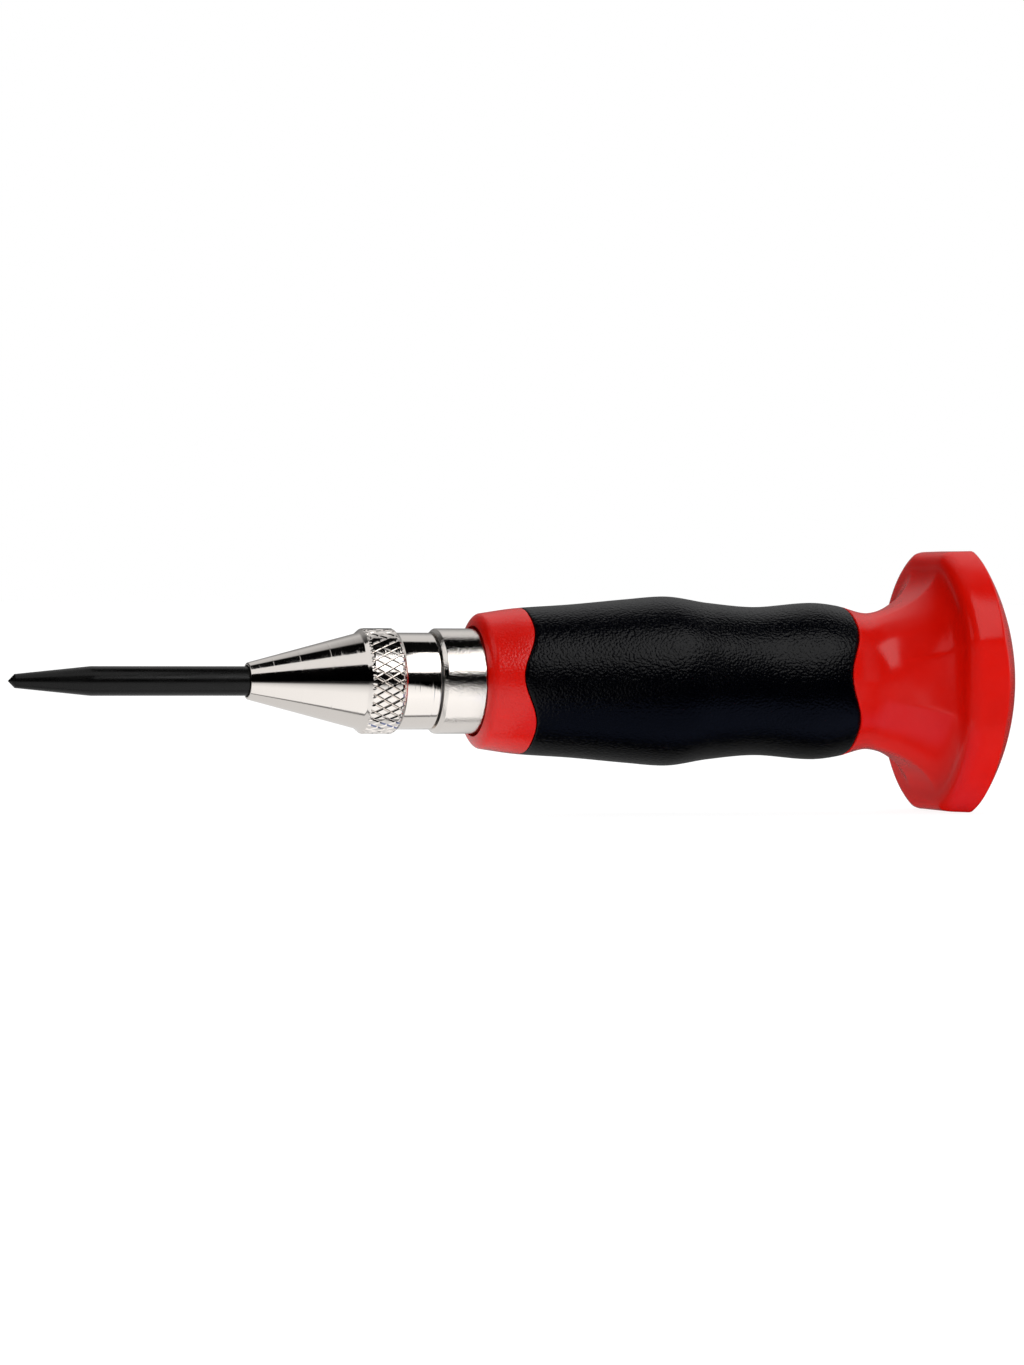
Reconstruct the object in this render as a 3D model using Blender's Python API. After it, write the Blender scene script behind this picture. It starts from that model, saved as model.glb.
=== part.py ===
"""Automatic centre punch with a two-component palm handle.

Pushing the handle drives the point into the nose. The spindle behind the point carries the
hammer back against the main spring until a sear in the hammer slides sideways on a ramp in the
barrel, lines its cross hole up with the spindle and lets the hammer fly forward.

Units are metres, the tool's axis is X, the point is at -X and the palm knob at +X.
Stations along the axis are counted from the tip of the point.
"""

import math

import bmesh
import bpy

# Fits between neighbouring pieces
SEAT_GAP = 0.0003  # axial gap where one face rests on another
RUN_GAP = 0.0002  # radial gap round a piece that slides or turns
PRESS_GAP = 0.0001  # radial gap round a piece that is pressed or moulded in

# Punch point
POINT_DIAMETER = 0.0040
POINT_REACH = 0.03295  # tip to the front face of the nose
TIP_DIAMETER = 0.0019  # width of the ground conical tip
TIP_ANGLE = math.radians(90)
POINT_TAPER_LENGTH = 0.0113  # tip to the full diameter
STROKE = 0.0090  # travel of the point up to the release

# Nose
NOSE_LIP = 0.0003  # wall round the guide bore at the front face
NOSE_CONE_DIAMETER = 0.0130
NOSE_CONE_LENGTH = 0.0152
KNURL_DIAMETER = 0.0144
KNURL_LENGTH = 0.0056
KNURL_BEVEL = 0.0008  # axial length of the bevel at each end of the knurl
KNURL_DEPTH = 0.00035
KNURL_DIAMONDS = 36  # diamonds round the band
KNURL_ROWS = 4  # half diamonds along the band
NOSE_COLLAR_DIAMETER = 0.0132
NOSE_COLLAR_LENGTH = 0.0048
NOSE_WALL = 0.0013  # wall round the internal thread
EDGE_BREAK = 0.0002  # small bevel on turned edges

# Spindle that carries the point
SOCKET_WALL = 0.0010
SOCKET_LENGTH = 0.0050
FLANGE_LENGTH = 0.0018
STEM_DIAMETER = 0.0025
SPIGOT_WALL = 0.0011  # wall between the thread and the return spring's chamber

# Barrel and the threaded bush in its front end
BARREL_DIAMETER = 0.0144
BARREL_SHOWING = 0.0059  # barrel between the nose and the handle
BARREL_WALL = 0.0011  # wall round the front bore, where the sear stands out
BARREL_BEVEL = 0.0005
BUSH_LENGTH = 0.0080  # part of the bush that sits in the barrel
BUSH_GUIDE_LENGTH = 0.0030  # wall that guides the stem

# Hammer, sear and release ramp
HAMMER_LENGTH = 0.0210
HAMMER_BOSS_LENGTH = 0.0025
SEAR_SETBACK = 0.0050  # hammer's front face to the axis of the sear
SEAR_DIAMETER = 0.0044
SEAR_BEVEL = 0.0012
SEAR_SHIFT = 0.0010  # sideways travel that lines the sear's hole up
SEAR_FLOOR = 0.0007  # wall under the sear's hole
RAMP_LENGTH = 0.0025
STRIKE_ALLOWANCE = 0.0005  # the hammer meets the stem this much before its own stop

# Springs, as fitted
SPRING_GAP = 0.0005  # radial gap round a spring
MAIN_SPRING_LENGTH = 0.0250
MAIN_WIRE = 0.0015
MAIN_CURLS = 9
RETURN_WIRE = 0.0006
RETURN_CURLS = 5
SEAR_SPRING_LENGTH = 0.0018
SEAR_WIRE = 0.0003
SEAR_CURLS = 2
POINTS_PER_CURL = 10

# Plug that closes the barrel and backs the main spring
PLUG_LENGTH = 0.0050
PLUG_FLANGE_LENGTH = 0.0015
PLUG_SLOT_WIDTH = 0.0012
PLUG_SLOT_DEPTH = 0.0008

# Handle core: length of each stretch of the outline and diameter at its rear end
LIP_LENGTH = 0.0011
LIP_START = 0.3  # where the lip's curve is pulled to, as shares of its length and height
LIP_RISE = 0.85
COLLAR_DIAMETER = 0.0186
COLLAR_LENGTH = 0.0049
SHOULDER_DIAMETER = 0.0200
FOREGRIP_LENGTH = 0.0080
FOREGRIP_DIAMETER = 0.0211
MIDGRIP_LENGTH = 0.0081
MIDGRIP_DIAMETER = 0.0226
SWELL_LENGTH = 0.0054
SWELL_DIAMETER = 0.0234
FALL_LENGTH = 0.0063
FALL_DIAMETER = 0.0217
WAIST_LENGTH = 0.0069
WAIST_DIAMETER = 0.0206
HEEL_LENGTH = 0.0085
HEEL_DIAMETER = 0.0218
HEEL_FALL_LENGTH = 0.0034
HEEL_FALL_DIAMETER = 0.0211
NECK_LENGTH = 0.0047
NECK_DIAMETER = 0.0190
MOUTH_DEPTH = 0.0014
MOUTH_FLARE = 0.00075  # how much the collar's mouth opens round the barrel
CORE_WALL = 0.0012  # plastic between the barrel and the soft grip

# Palm knob
FLARE_LENGTH = 0.0092  # neck to the knob's underside
RIM_DIAMETER = 0.0379
RIM_ROUND = 0.0006
RIM_FLAT = 0.00015  # flat ring between the flare and the rounded rim
KNOB_DIAMETER = 0.0384
KNOB_FLATS = 0.0365  # across the flats that keep the tool from rolling
KNOB_BAND_LENGTH = 0.0045  # underside to the dome's edge
DOME_RADIUS = 0.0324

# Wavy edges of the soft grip
GRIP_FRONT_FROM_COLLAR = 0.0060
GRIP_REAR_FROM_NECK = 0.0044
WAVE_LOBES = 3
FRONT_WAVE = 0.0011
REAR_WAVE = 0.0010
WAVE_CREST = 0.29  # share of the second harmonic, which widens the crests
WAVE_TURN = math.radians(4.5)  # trough's angle above the side of the tool

# Facets
TURNED_SIDES = 40
SMALL_SIDES = 24
HANDLE_SIDES = 60
KNURL_SIDES = 2 * KNURL_DIAMONDS
LIP_STEPS = 5
COLLAR_STEPS = 2
GRIP_STEPS = 16
NECK_STEPS = 3
FLARE_STEPS = 8
RIM_STEPS = 2
DOME_STEPS = 8
SHARP_ANGLE = math.radians(35)  # edges sharper than this stay crisp
WELD_DISTANCE = 1e-7  # joins the points that an outline leaves on the axis

# Radii that several pieces share
POINT_RADIUS = POINT_DIAMETER / 2
SOCKET_BORE = POINT_RADIUS + PRESS_GAP
SOCKET_RADIUS = SOCKET_BORE + SOCKET_WALL
STEM_RADIUS = STEM_DIAMETER / 2
STEM_HOLE = STEM_RADIUS + RUN_GAP
NOSE_GUIDE = POINT_RADIUS + RUN_GAP
THREAD_BORE = NOSE_COLLAR_DIAMETER / 2 - NOSE_WALL
SPIGOT_RADIUS = THREAD_BORE - RUN_GAP
SPRING_CHAMBER = SPIGOT_RADIUS - SPIGOT_WALL
FLANGE_RADIUS = SPRING_CHAMBER - RUN_GAP
RETURN_SPRING_RADIUS = SPRING_CHAMBER - SPRING_GAP
BARREL_RADIUS = BARREL_DIAMETER / 2
FRONT_BORE = BARREL_RADIUS - BARREL_WALL
REAR_BORE = FRONT_BORE - SEAR_SHIFT + RUN_GAP
HAMMER_RADIUS = REAR_BORE - RUN_GAP
SEAR_RADIUS = SEAR_DIAMETER / 2
SEAR_TIP = FRONT_BORE - RUN_GAP
SEAR_POCKET = HAMMER_RADIUS - SEAR_FLOOR
SEAR_FOOT = SEAR_POCKET - SEAR_SPRING_LENGTH - 2 * SEAT_GAP
SEAR_SPRING_RADIUS = SEAR_RADIUS - SPRING_GAP
MAIN_SPRING_RADIUS = REAR_BORE - SPRING_GAP
SPRING_BOSS = MAIN_SPRING_RADIUS - MAIN_WIRE - SPRING_GAP
HANDLE_BORE = BARREL_RADIUS + PRESS_GAP
CORE_RADIUS = HANDLE_BORE + CORE_WALL
GRIP_BORE = CORE_RADIUS + PRESS_GAP
RIM_RADIUS = RIM_DIAMETER / 2
KNOB_RADIUS = KNOB_DIAMETER / 2

# Stations along the axis
NOSE_FRONT = POINT_REACH
KNURL_FRONT = NOSE_FRONT + NOSE_CONE_LENGTH
KNURL_REAR = KNURL_FRONT + KNURL_LENGTH
NOSE_REAR = KNURL_REAR + NOSE_COLLAR_LENGTH
BARREL_FRONT = NOSE_REAR + SEAT_GAP
COLLAR_FRONT = BARREL_FRONT + BARREL_SHOWING
SPINDLE_SEAT = KNURL_FRONT + KNURL_BEVEL
FLANGE_FRONT = SPINDLE_SEAT + SEAT_GAP
FLANGE_REAR = FLANGE_FRONT + FLANGE_LENGTH
SOCKET_FRONT = FLANGE_FRONT - SOCKET_LENGTH
SPIGOT_FRONT = FLANGE_REAR + SEAT_GAP
BUSH_REAR = BARREL_FRONT + BUSH_LENGTH
GUIDE_FRONT = BUSH_REAR - BUSH_GUIDE_LENGTH
HAMMER_FRONT = BUSH_REAR + SEAT_GAP
SEAR_STATION = HAMMER_FRONT + SEAR_SETBACK
STEM_REAR = SEAR_STATION - SEAR_RADIUS - SEAT_GAP
RAMP_REAR = SEAR_STATION + STROKE + SEAR_RADIUS - SEAR_BEVEL
RAMP_FRONT = RAMP_REAR - RAMP_LENGTH
HAMMER_REAR = HAMMER_FRONT + HAMMER_LENGTH
PLUG_FRONT = HAMMER_REAR + MAIN_SPRING_LENGTH + 2 * SEAT_GAP
BARREL_REAR = PLUG_FRONT + PLUG_LENGTH
PLUG_REAR = BARREL_REAR + SEAT_GAP + PLUG_FLANGE_LENGTH

# Handle outline as (distance from the collar's front edge, radius)
HANDLE_OUTLINE = []
for stretch, diameter in (
    (LIP_LENGTH, COLLAR_DIAMETER),
    (COLLAR_LENGTH, SHOULDER_DIAMETER),
    (FOREGRIP_LENGTH, FOREGRIP_DIAMETER),
    (MIDGRIP_LENGTH, MIDGRIP_DIAMETER),
    (SWELL_LENGTH, SWELL_DIAMETER),
    (FALL_LENGTH, FALL_DIAMETER),
    (WAIST_LENGTH, WAIST_DIAMETER),
    (HEEL_LENGTH, HEEL_DIAMETER),
    (HEEL_FALL_LENGTH, HEEL_FALL_DIAMETER),
    (NECK_LENGTH, NECK_DIAMETER),
):
    reached = HANDLE_OUTLINE[-1][0] if HANDLE_OUTLINE else 0.0
    HANDLE_OUTLINE.append((reached + stretch, diameter / 2))

# Knob stations, from the collar's front edge
NECK = HANDLE_OUTLINE[-1][0]
UNDERSIDE = NECK + FLARE_LENGTH
DOME_FRONT = UNDERSIDE + KNOB_BAND_LENGTH
DOME_CENTRE = DOME_FRONT - math.sqrt(DOME_RADIUS**2 - KNOB_RADIUS**2)
HANDLE_LENGTH = DOME_CENTRE + DOME_RADIUS
OVERALL_LENGTH = COLLAR_FRONT + HANDLE_LENGTH


def clear_scene():
    for old in list(bpy.data.objects):
        bpy.data.objects.remove(old)


def principled(name, colour, roughness, metallic):
    material = bpy.data.materials.new(name)
    material.use_nodes = True
    shader = material.node_tree.nodes["Principled BSDF"]
    shader.inputs["Base Color"].default_value = (*colour, 1.0)
    shader.inputs["Roughness"].default_value = roughness
    shader.inputs["Metallic"].default_value = metallic
    return material


def add_object(name, data, station, material=None):
    thing = bpy.data.objects.new(name, data)
    bpy.context.collection.objects.link(thing)
    thing.parent = bpy.data.objects["tool_axis"]
    thing.location = (station, 0.0, 0.0)
    if material:
        data.materials.append(material)
    return thing


def finish_mesh(name, bm):
    """Closes a bmesh into a mesh with outward faces, smooth on its round stretches."""
    bmesh.ops.recalc_face_normals(bm, faces=bm.faces)
    mesh = bpy.data.meshes.new(name)
    bm.to_mesh(mesh)
    bm.free()
    mesh.shade_smooth()
    mesh.set_sharp_from_angle(angle=SHARP_ANGLE)
    return mesh


def turned(name, outline, sides, closed=False):
    """Revolves an outline of (station, radius) points about the X axis."""
    bm = bmesh.new()
    corners = [bm.verts.new((x, 0.0, r)) for x, r in outline]
    runs = list(zip(corners, corners[1:]))
    if closed:
        runs.append((corners[-1], corners[0]))
    edges = [bm.edges.new(run) for run in runs]
    bmesh.ops.spin(
        bm,
        geom=corners + edges,
        cent=(0.0, 0.0, 0.0),
        axis=(1.0, 0.0, 0.0),
        angle=2 * math.pi,
        steps=sides,
        use_merge=True,
    )
    bmesh.ops.remove_doubles(bm, verts=bm.verts, dist=WELD_DISTANCE)
    return finish_mesh(name, bm)


def ring(sides, station, radius):
    """Points round the axis; station and radius are functions of the angle above the tool's side."""
    points = []
    for step in range(sides):
        angle = 2 * math.pi * step / sides
        r = radius(angle)
        points.append((station(angle), -r * math.cos(angle), r * math.sin(angle)))
    return points


def even_ring(sides, station, radius):
    return ring(sides, lambda angle: station, lambda angle: radius)


def bridge(bm, near, far, cut_from=None):
    """Faces between two rings; a ring of one point closes an end, cut_from picks the diagonal."""
    count = max(len(near), len(far))
    for i in range(count):
        j = (i + 1) % count
        a, b = near[i % len(near)], near[j % len(near)]
        c, d = far[j % len(far)], far[i % len(far)]
        if cut_from is None:
            bm.faces.new(list(dict.fromkeys((a, b, c, d))))
        elif (i + cut_from) % 2 == 0:
            bm.faces.new((a, b, c))
            bm.faces.new((a, c, d))
        else:
            bm.faces.new((a, b, d))
            bm.faces.new((b, c, d))


def loft(name, rings, closed=False):
    """Skins a row of rings."""
    bm = bmesh.new()
    rows = [[bm.verts.new(point) for point in points] for points in rings]
    for near, far in zip(rows, rows[1:]):
        bridge(bm, near, far)
    if closed:
        bridge(bm, rows[-1], rows[0])
    return finish_mesh(name, bm)


def cutter(name, mesh, station, owner):
    """Subtracts a hidden guide shape from its owner."""
    tool = add_object(name, mesh, station)
    tool.hide_render = True
    tool.display_type = "WIRE"
    cut = owner.modifiers.new(name, "BOOLEAN")
    cut.operation = "DIFFERENCE"
    cut.object = tool
    return tool


def coil(name, station, material, length, outer, wire, curls, axis="X"):
    """One unbroken helical wire with straight tails, and a printed check of the gap between curls."""
    radius = outer - wire / 2
    climb = length - wire
    steps = curls * POINTS_PER_CURL
    points = []
    for step in range(steps + 1):
        angle = 2 * math.pi * curls * step / steps
        along = wire / 2 + climb * step / steps
        points.append((along, radius * math.cos(angle), radius * math.sin(angle)))
    tail = wire
    first, last = points[0], points[-1]
    points.insert(0, (first[0], first[1], first[2] - tail))
    points.append((last[0], last[1], last[2] + tail))
    gap = min(
        math.dist(points[i], points[k]) - wire
        for i in range(len(points))
        for k in range(i + POINTS_PER_CURL // 2, len(points))
    )
    print(f"{name}: least gap between curls {gap * 1000:.2f} mm")
    curve = bpy.data.curves.new(name, "CURVE")
    curve.dimensions = "3D"
    curve.bevel_depth = wire / 2
    curve.bevel_resolution = 1
    curve.use_fill_caps = True
    spline = curve.splines.new("POLY")
    spline.points.add(len(points) - 1)
    for spot, (along, across, up) in zip(spline.points, points):
        place = (along, across, up) if axis == "X" else (up, across, along)
        spot.co = (*place, 1.0)
    return add_object(name, curve, station, material)


def outline_slope(k):
    """Slope of the handle's outline at a station: level at a swell, a waist and the neck."""
    if k == len(HANDLE_OUTLINE) - 1:
        return 0.0
    before = HANDLE_OUTLINE[max(k - 1, 0)]
    here = HANDLE_OUTLINE[k]
    after = HANDLE_OUTLINE[k + 1]
    if (here[1] - before[1]) * (after[1] - here[1]) < 0:
        return 0.0
    return (after[1] - before[1]) / (after[0] - before[0])


def smooth_radius(x):
    """Handle radius at a distance from the collar's front, through the outline's stations."""
    last = len(HANDLE_OUTLINE) - 1
    k = 0
    while k < last - 1 and x > HANDLE_OUTLINE[k + 1][0]:
        k += 1
    (x0, r0), (x1, r1) = HANDLE_OUTLINE[k], HANDLE_OUTLINE[k + 1]
    span = x1 - x0
    u = (x - x0) / span
    value = r0 * (2 * u**3 - 3 * u**2 + 1) + r1 * (3 * u**2 - 2 * u**3)
    leave = outline_slope(k) * (u**3 - 2 * u**2 + u)
    arrive = outline_slope(k + 1) * (u**3 - u**2)
    return value + span * (leave + arrive)


def wave(angle):
    turn = WAVE_LOBES * (angle - WAVE_TURN)
    return -math.cos(turn) - WAVE_CREST * math.cos(2 * turn)


def grip_front(angle):
    return GRIP_FRONT_FROM_COLLAR + FRONT_WAVE * wave(angle)


def grip_rear(angle):
    return NECK - GRIP_REAR_FROM_NECK + REAR_WAVE * wave(angle)


def between(start, end, share):
    """A station function part of the way from one edge function to another."""
    return lambda angle: start(angle) + (end(angle) - start(angle)) * share


def skin_ring(station):
    """A ring on the handle's outline at a station that may change round the handle."""
    return ring(HANDLE_SIDES, station, lambda angle: smooth_radius(station(angle)))


def punch_point(material):
    cone = TIP_DIAMETER / 2 / math.tan(TIP_ANGLE / 2)
    rear = FLANGE_FRONT - SEAT_GAP
    outline = [
        (0.0, 0.0),
        (cone, TIP_DIAMETER / 2),
        (POINT_TAPER_LENGTH, POINT_RADIUS),
        (rear - EDGE_BREAK, POINT_RADIUS),
        (rear, POINT_RADIUS - EDGE_BREAK),
        (rear, 0.0),
    ]
    add_object("punch_point", turned("punch_point", outline, TURNED_SIDES), 0.0, material)


def drive_spindle(material):
    seat = FLANGE_FRONT - SOCKET_FRONT
    back = FLANGE_REAR - SOCKET_FRONT
    end = STEM_REAR - SOCKET_FRONT
    outline = [
        (seat, 0.0),
        (seat, SOCKET_BORE),
        (0.0, SOCKET_BORE),
        (0.0, SOCKET_RADIUS - EDGE_BREAK),
        (EDGE_BREAK, SOCKET_RADIUS),
        (seat, SOCKET_RADIUS),
        (seat, FLANGE_RADIUS),
        (back, FLANGE_RADIUS),
        (back, STEM_RADIUS),
        (end - EDGE_BREAK, STEM_RADIUS),
        (end, STEM_RADIUS - EDGE_BREAK),
        (end, 0.0),
    ]
    mesh = turned("drive_spindle", outline, SMALL_SIDES)
    add_object("drive_spindle", mesh, SOCKET_FRONT, material)


def knurl_rings():
    """Rings whose points stand alternately on a diamond's top and in a groove."""
    top = KNURL_DIAMETER / 2
    root = top - KNURL_DEPTH
    start = KNURL_FRONT + KNURL_BEVEL
    step = (KNURL_LENGTH - 2 * KNURL_BEVEL) / KNURL_ROWS
    rows = []
    for row in range(KNURL_ROWS + 1):
        points = []
        for i in range(KNURL_SIDES):
            angle = 2 * math.pi * i / KNURL_SIDES
            r = root if (i + row) % 2 == 0 else top
            points.append((start + step * row, -r * math.cos(angle), r * math.sin(angle)))
        rows.append(points)
    return rows


def nose_cone(material):
    """Cone, diamond knurl and plain collar outside; guide bore, spindle seat and thread bore inside."""
    tip = NOSE_GUIDE + NOSE_LIP
    chamber = SOCKET_RADIUS + RUN_GAP
    chamber_front = SOCKET_FRONT - SEAT_GAP
    collar = NOSE_COLLAR_DIAMETER / 2
    outside_front = [
        (NOSE_FRONT, tip - EDGE_BREAK),
        (NOSE_FRONT + EDGE_BREAK, tip),
        (KNURL_FRONT, NOSE_CONE_DIAMETER / 2),
    ]
    outside_rear = [
        (KNURL_REAR, collar),
        (NOSE_REAR - EDGE_BREAK, collar),
        (NOSE_REAR, collar - EDGE_BREAK),
    ]
    inside = [
        (NOSE_REAR, THREAD_BORE),
        (SPINDLE_SEAT, THREAD_BORE),
        (SPINDLE_SEAT, chamber),
        (chamber_front, chamber),
        (chamber_front, NOSE_GUIDE),
        (NOSE_FRONT, NOSE_GUIDE),
    ]
    bm = bmesh.new()

    def rows_of(rings):
        return [[bm.verts.new(point) for point in points] for points in rings]

    front = rows_of(even_ring(KNURL_SIDES, x, r) for x, r in outside_front)
    knurl = rows_of(knurl_rings())
    rear = rows_of(even_ring(KNURL_SIDES, x, r) for x, r in outside_rear + inside)
    for near, far in zip(front, front[1:]):
        bridge(bm, near, far)
    bridge(bm, front[-1], knurl[0], cut_from=0)
    for row in range(KNURL_ROWS):
        bridge(bm, knurl[row], knurl[row + 1], cut_from=row)
    bridge(bm, knurl[-1], rear[0], cut_from=KNURL_ROWS)
    for near, far in zip(rear, rear[1:]):
        bridge(bm, near, far)
    bridge(bm, rear[-1], front[0])
    bmesh.ops.translate(bm, verts=bm.verts, vec=(-NOSE_FRONT, 0.0, 0.0))
    add_object("nose_cone", finish_mesh("nose_cone", bm), NOSE_FRONT, material)


def thread_bush(material):
    """Bush in the barrel's front: spigot for the nose, spring chamber and guide for the stem."""
    body = FRONT_BORE - PRESS_GAP
    shoulder = BARREL_FRONT - SPIGOT_FRONT
    wall = GUIDE_FRONT - SPIGOT_FRONT
    rear = BUSH_REAR - SPIGOT_FRONT
    outline = [
        (0.0, SPRING_CHAMBER),
        (0.0, SPIGOT_RADIUS - EDGE_BREAK),
        (EDGE_BREAK, SPIGOT_RADIUS),
        (shoulder, SPIGOT_RADIUS),
        (shoulder, body),
        (rear, body),
        (rear, STEM_HOLE),
        (wall, STEM_HOLE),
        (wall, SPRING_CHAMBER),
    ]
    mesh = turned("thread_bush", outline, TURNED_SIDES, closed=True)
    add_object("thread_bush", mesh, SPIGOT_FRONT, material)


def barrel(material):
    """Tube with a wide front bore, the ramp that trips the sear and a narrower rear bore."""
    length = BARREL_REAR - BARREL_FRONT
    outline = [
        (0.0, FRONT_BORE),
        (0.0, BARREL_RADIUS - BARREL_BEVEL),
        (BARREL_BEVEL, BARREL_RADIUS),
        (length - EDGE_BREAK, BARREL_RADIUS),
        (length, BARREL_RADIUS - EDGE_BREAK),
        (length, REAR_BORE),
        (RAMP_REAR - BARREL_FRONT, REAR_BORE),
        (RAMP_FRONT - BARREL_FRONT, FRONT_BORE),
    ]
    mesh = turned("barrel", outline, TURNED_SIDES, closed=True)
    add_object("barrel", mesh, BARREL_FRONT, material)


def hammer(material):
    """Striker with a hole for the stem, a cross hole for the sear and a boss for the main spring."""
    strike = SEAR_SETBACK - SEAR_RADIUS + STROKE - STRIKE_ALLOWANCE
    boss = HAMMER_LENGTH + HAMMER_BOSS_LENGTH
    outline = [
        (strike, 0.0),
        (strike, STEM_HOLE),
        (0.0, STEM_HOLE),
        (0.0, HAMMER_RADIUS - EDGE_BREAK),
        (EDGE_BREAK, HAMMER_RADIUS),
        (HAMMER_LENGTH, HAMMER_RADIUS),
        (HAMMER_LENGTH, SPRING_BOSS),
        (boss - EDGE_BREAK, SPRING_BOSS),
        (boss, SPRING_BOSS - EDGE_BREAK),
        (boss, 0.0),
    ]
    body = add_object("hammer", turned("hammer", outline, TURNED_SIDES), HAMMER_FRONT, material)
    pocket = SEAR_RADIUS + RUN_GAP
    outline = [
        (-SEAR_POCKET, 0.0),
        (-SEAR_POCKET, pocket),
        (BARREL_RADIUS, pocket),
        (BARREL_RADIUS, 0.0),
    ]
    hole = cutter("sear_hole", turned("sear_hole", outline, SMALL_SIDES), SEAR_STATION, body)
    hole.rotation_euler = (0.0, -math.pi / 2, 0.0)


def sear(material):
    """Cross pin that stands out of the hammer, with a hole that misses the stem until it is pushed in."""
    outline = [
        (-SEAR_FOOT, 0.0),
        (-SEAR_FOOT, SEAR_RADIUS),
        (SEAR_TIP - SEAR_BEVEL, SEAR_RADIUS),
        (SEAR_TIP, SEAR_RADIUS - SEAR_BEVEL),
        (SEAR_TIP, 0.0),
    ]
    pin = add_object("sear", turned("sear", outline, SMALL_SIDES), SEAR_STATION, material)
    pin.rotation_euler = (0.0, -math.pi / 2, 0.0)
    outline = [
        (-SEAR_DIAMETER, 0.0),
        (-SEAR_DIAMETER, STEM_HOLE),
        (SEAR_DIAMETER, STEM_HOLE),
        (SEAR_DIAMETER, 0.0),
    ]
    hole = cutter("stem_hole", turned("stem_hole", outline, SMALL_SIDES), SEAR_STATION, pin)
    hole.location.z = SEAR_SHIFT


def springs(material):
    coil(
        "return_spring",
        FLANGE_REAR + SEAT_GAP,
        material,
        GUIDE_FRONT - FLANGE_REAR - 2 * SEAT_GAP,
        RETURN_SPRING_RADIUS,
        RETURN_WIRE,
        RETURN_CURLS,
    )
    coil(
        "main_spring",
        HAMMER_REAR + SEAT_GAP,
        material,
        MAIN_SPRING_LENGTH,
        MAIN_SPRING_RADIUS,
        MAIN_WIRE,
        MAIN_CURLS,
    )
    tiny = coil(
        "sear_spring",
        SEAR_STATION,
        material,
        SEAR_SPRING_LENGTH,
        SEAR_SPRING_RADIUS,
        SEAR_WIRE,
        SEAR_CURLS,
        axis="Z",
    )
    tiny.location.z = SEAT_GAP - SEAR_POCKET


def end_plug(material):
    """Slotted plug in the barrel's rear end, with a boss that centres the main spring."""
    front = PLUG_FRONT - HAMMER_BOSS_LENGTH
    flange = BARREL_REAR + SEAT_GAP - front
    rear = PLUG_REAR - front
    body = REAR_BORE - PRESS_GAP
    outline = [
        (0.0, 0.0),
        (0.0, SPRING_BOSS - EDGE_BREAK),
        (EDGE_BREAK, SPRING_BOSS),
        (PLUG_FRONT - front, SPRING_BOSS),
        (PLUG_FRONT - front, body),
        (flange, body),
        (flange, BARREL_RADIUS - EDGE_BREAK),
        (rear, BARREL_RADIUS - EDGE_BREAK),
        (rear, 0.0),
    ]
    plug = add_object("end_plug", turned("end_plug", outline, TURNED_SIDES), front, material)
    bm = bmesh.new()
    bmesh.ops.create_cube(bm, size=1.0)
    size = (2 * PLUG_SLOT_DEPTH, PLUG_SLOT_WIDTH, 2 * BARREL_DIAMETER)
    bmesh.ops.scale(bm, verts=bm.verts, vec=size)
    cutter("plug_slot", finish_mesh("plug_slot", bm), PLUG_REAR, plug)


def lip_rings():
    """Rounded lip of the collar, from the mouth's edge to the start of the outline."""
    mouth = HANDLE_BORE + MOUTH_FLARE
    collar = COLLAR_DIAMETER / 2
    pull_x = LIP_LENGTH * LIP_START
    pull_r = mouth + (collar - mouth) * LIP_RISE
    rings = []
    for step in range(LIP_STEPS):
        u = step / LIP_STEPS
        x = 2 * u * (1 - u) * pull_x + u * u * LIP_LENGTH
        r = (1 - u) ** 2 * mouth + 2 * u * (1 - u) * pull_r + u * u * collar
        rings.append(even_ring(HANDLE_SIDES, x, r))
    return rings


def knob_share(angle):
    """Share of the knob's round radius that the four flats leave at an angle."""
    turn = (angle + math.pi / 4) % (math.pi / 2) - math.pi / 4
    return min(1.0, KNOB_FLATS / KNOB_DIAMETER / math.cos(turn))


def knob_rings():
    """Concave flare, rounded rim, drafted band with four flats and dome, from just behind the neck."""
    neck = NECK_DIAMETER / 2
    flare_height = RIM_RADIUS - RIM_ROUND - RIM_FLAT - neck
    profile = []
    for step in range(1, FLARE_STEPS + 1):
        u = math.pi / 2 * step / FLARE_STEPS
        r = neck + flare_height * (1 - math.cos(u))
        profile.append((NECK + FLARE_LENGTH * math.sin(u), r))
    for step in range(RIM_STEPS + 1):
        u = math.pi / 2 * step / RIM_STEPS
        r = RIM_RADIUS - RIM_ROUND * (1 - math.sin(u))
        profile.append((UNDERSIDE + RIM_ROUND * (1 - math.cos(u)), r))
    rings = []
    for x, r in profile:
        flatness = ((r - neck) / (RIM_RADIUS - neck)) ** 2
        rings.append(
            ring(HANDLE_SIDES, lambda angle: x, lambda angle: r - r * flatness * (1 - knob_share(angle)))
        )
    for step in range(DOME_STEPS):

        def lean(angle):
            edge = math.asin(KNOB_RADIUS * knob_share(angle) / DOME_RADIUS)
            return edge * (1 - step / DOME_STEPS)

        rings.append(
            ring(
                HANDLE_SIDES,
                lambda angle: DOME_CENTRE + DOME_RADIUS * math.cos(lean(angle)),
                lambda angle: DOME_RADIUS * math.sin(lean(angle)),
            )
        )
    rings.append([(HANDLE_LENGTH, 0.0, 0.0)])
    return rings


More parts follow.
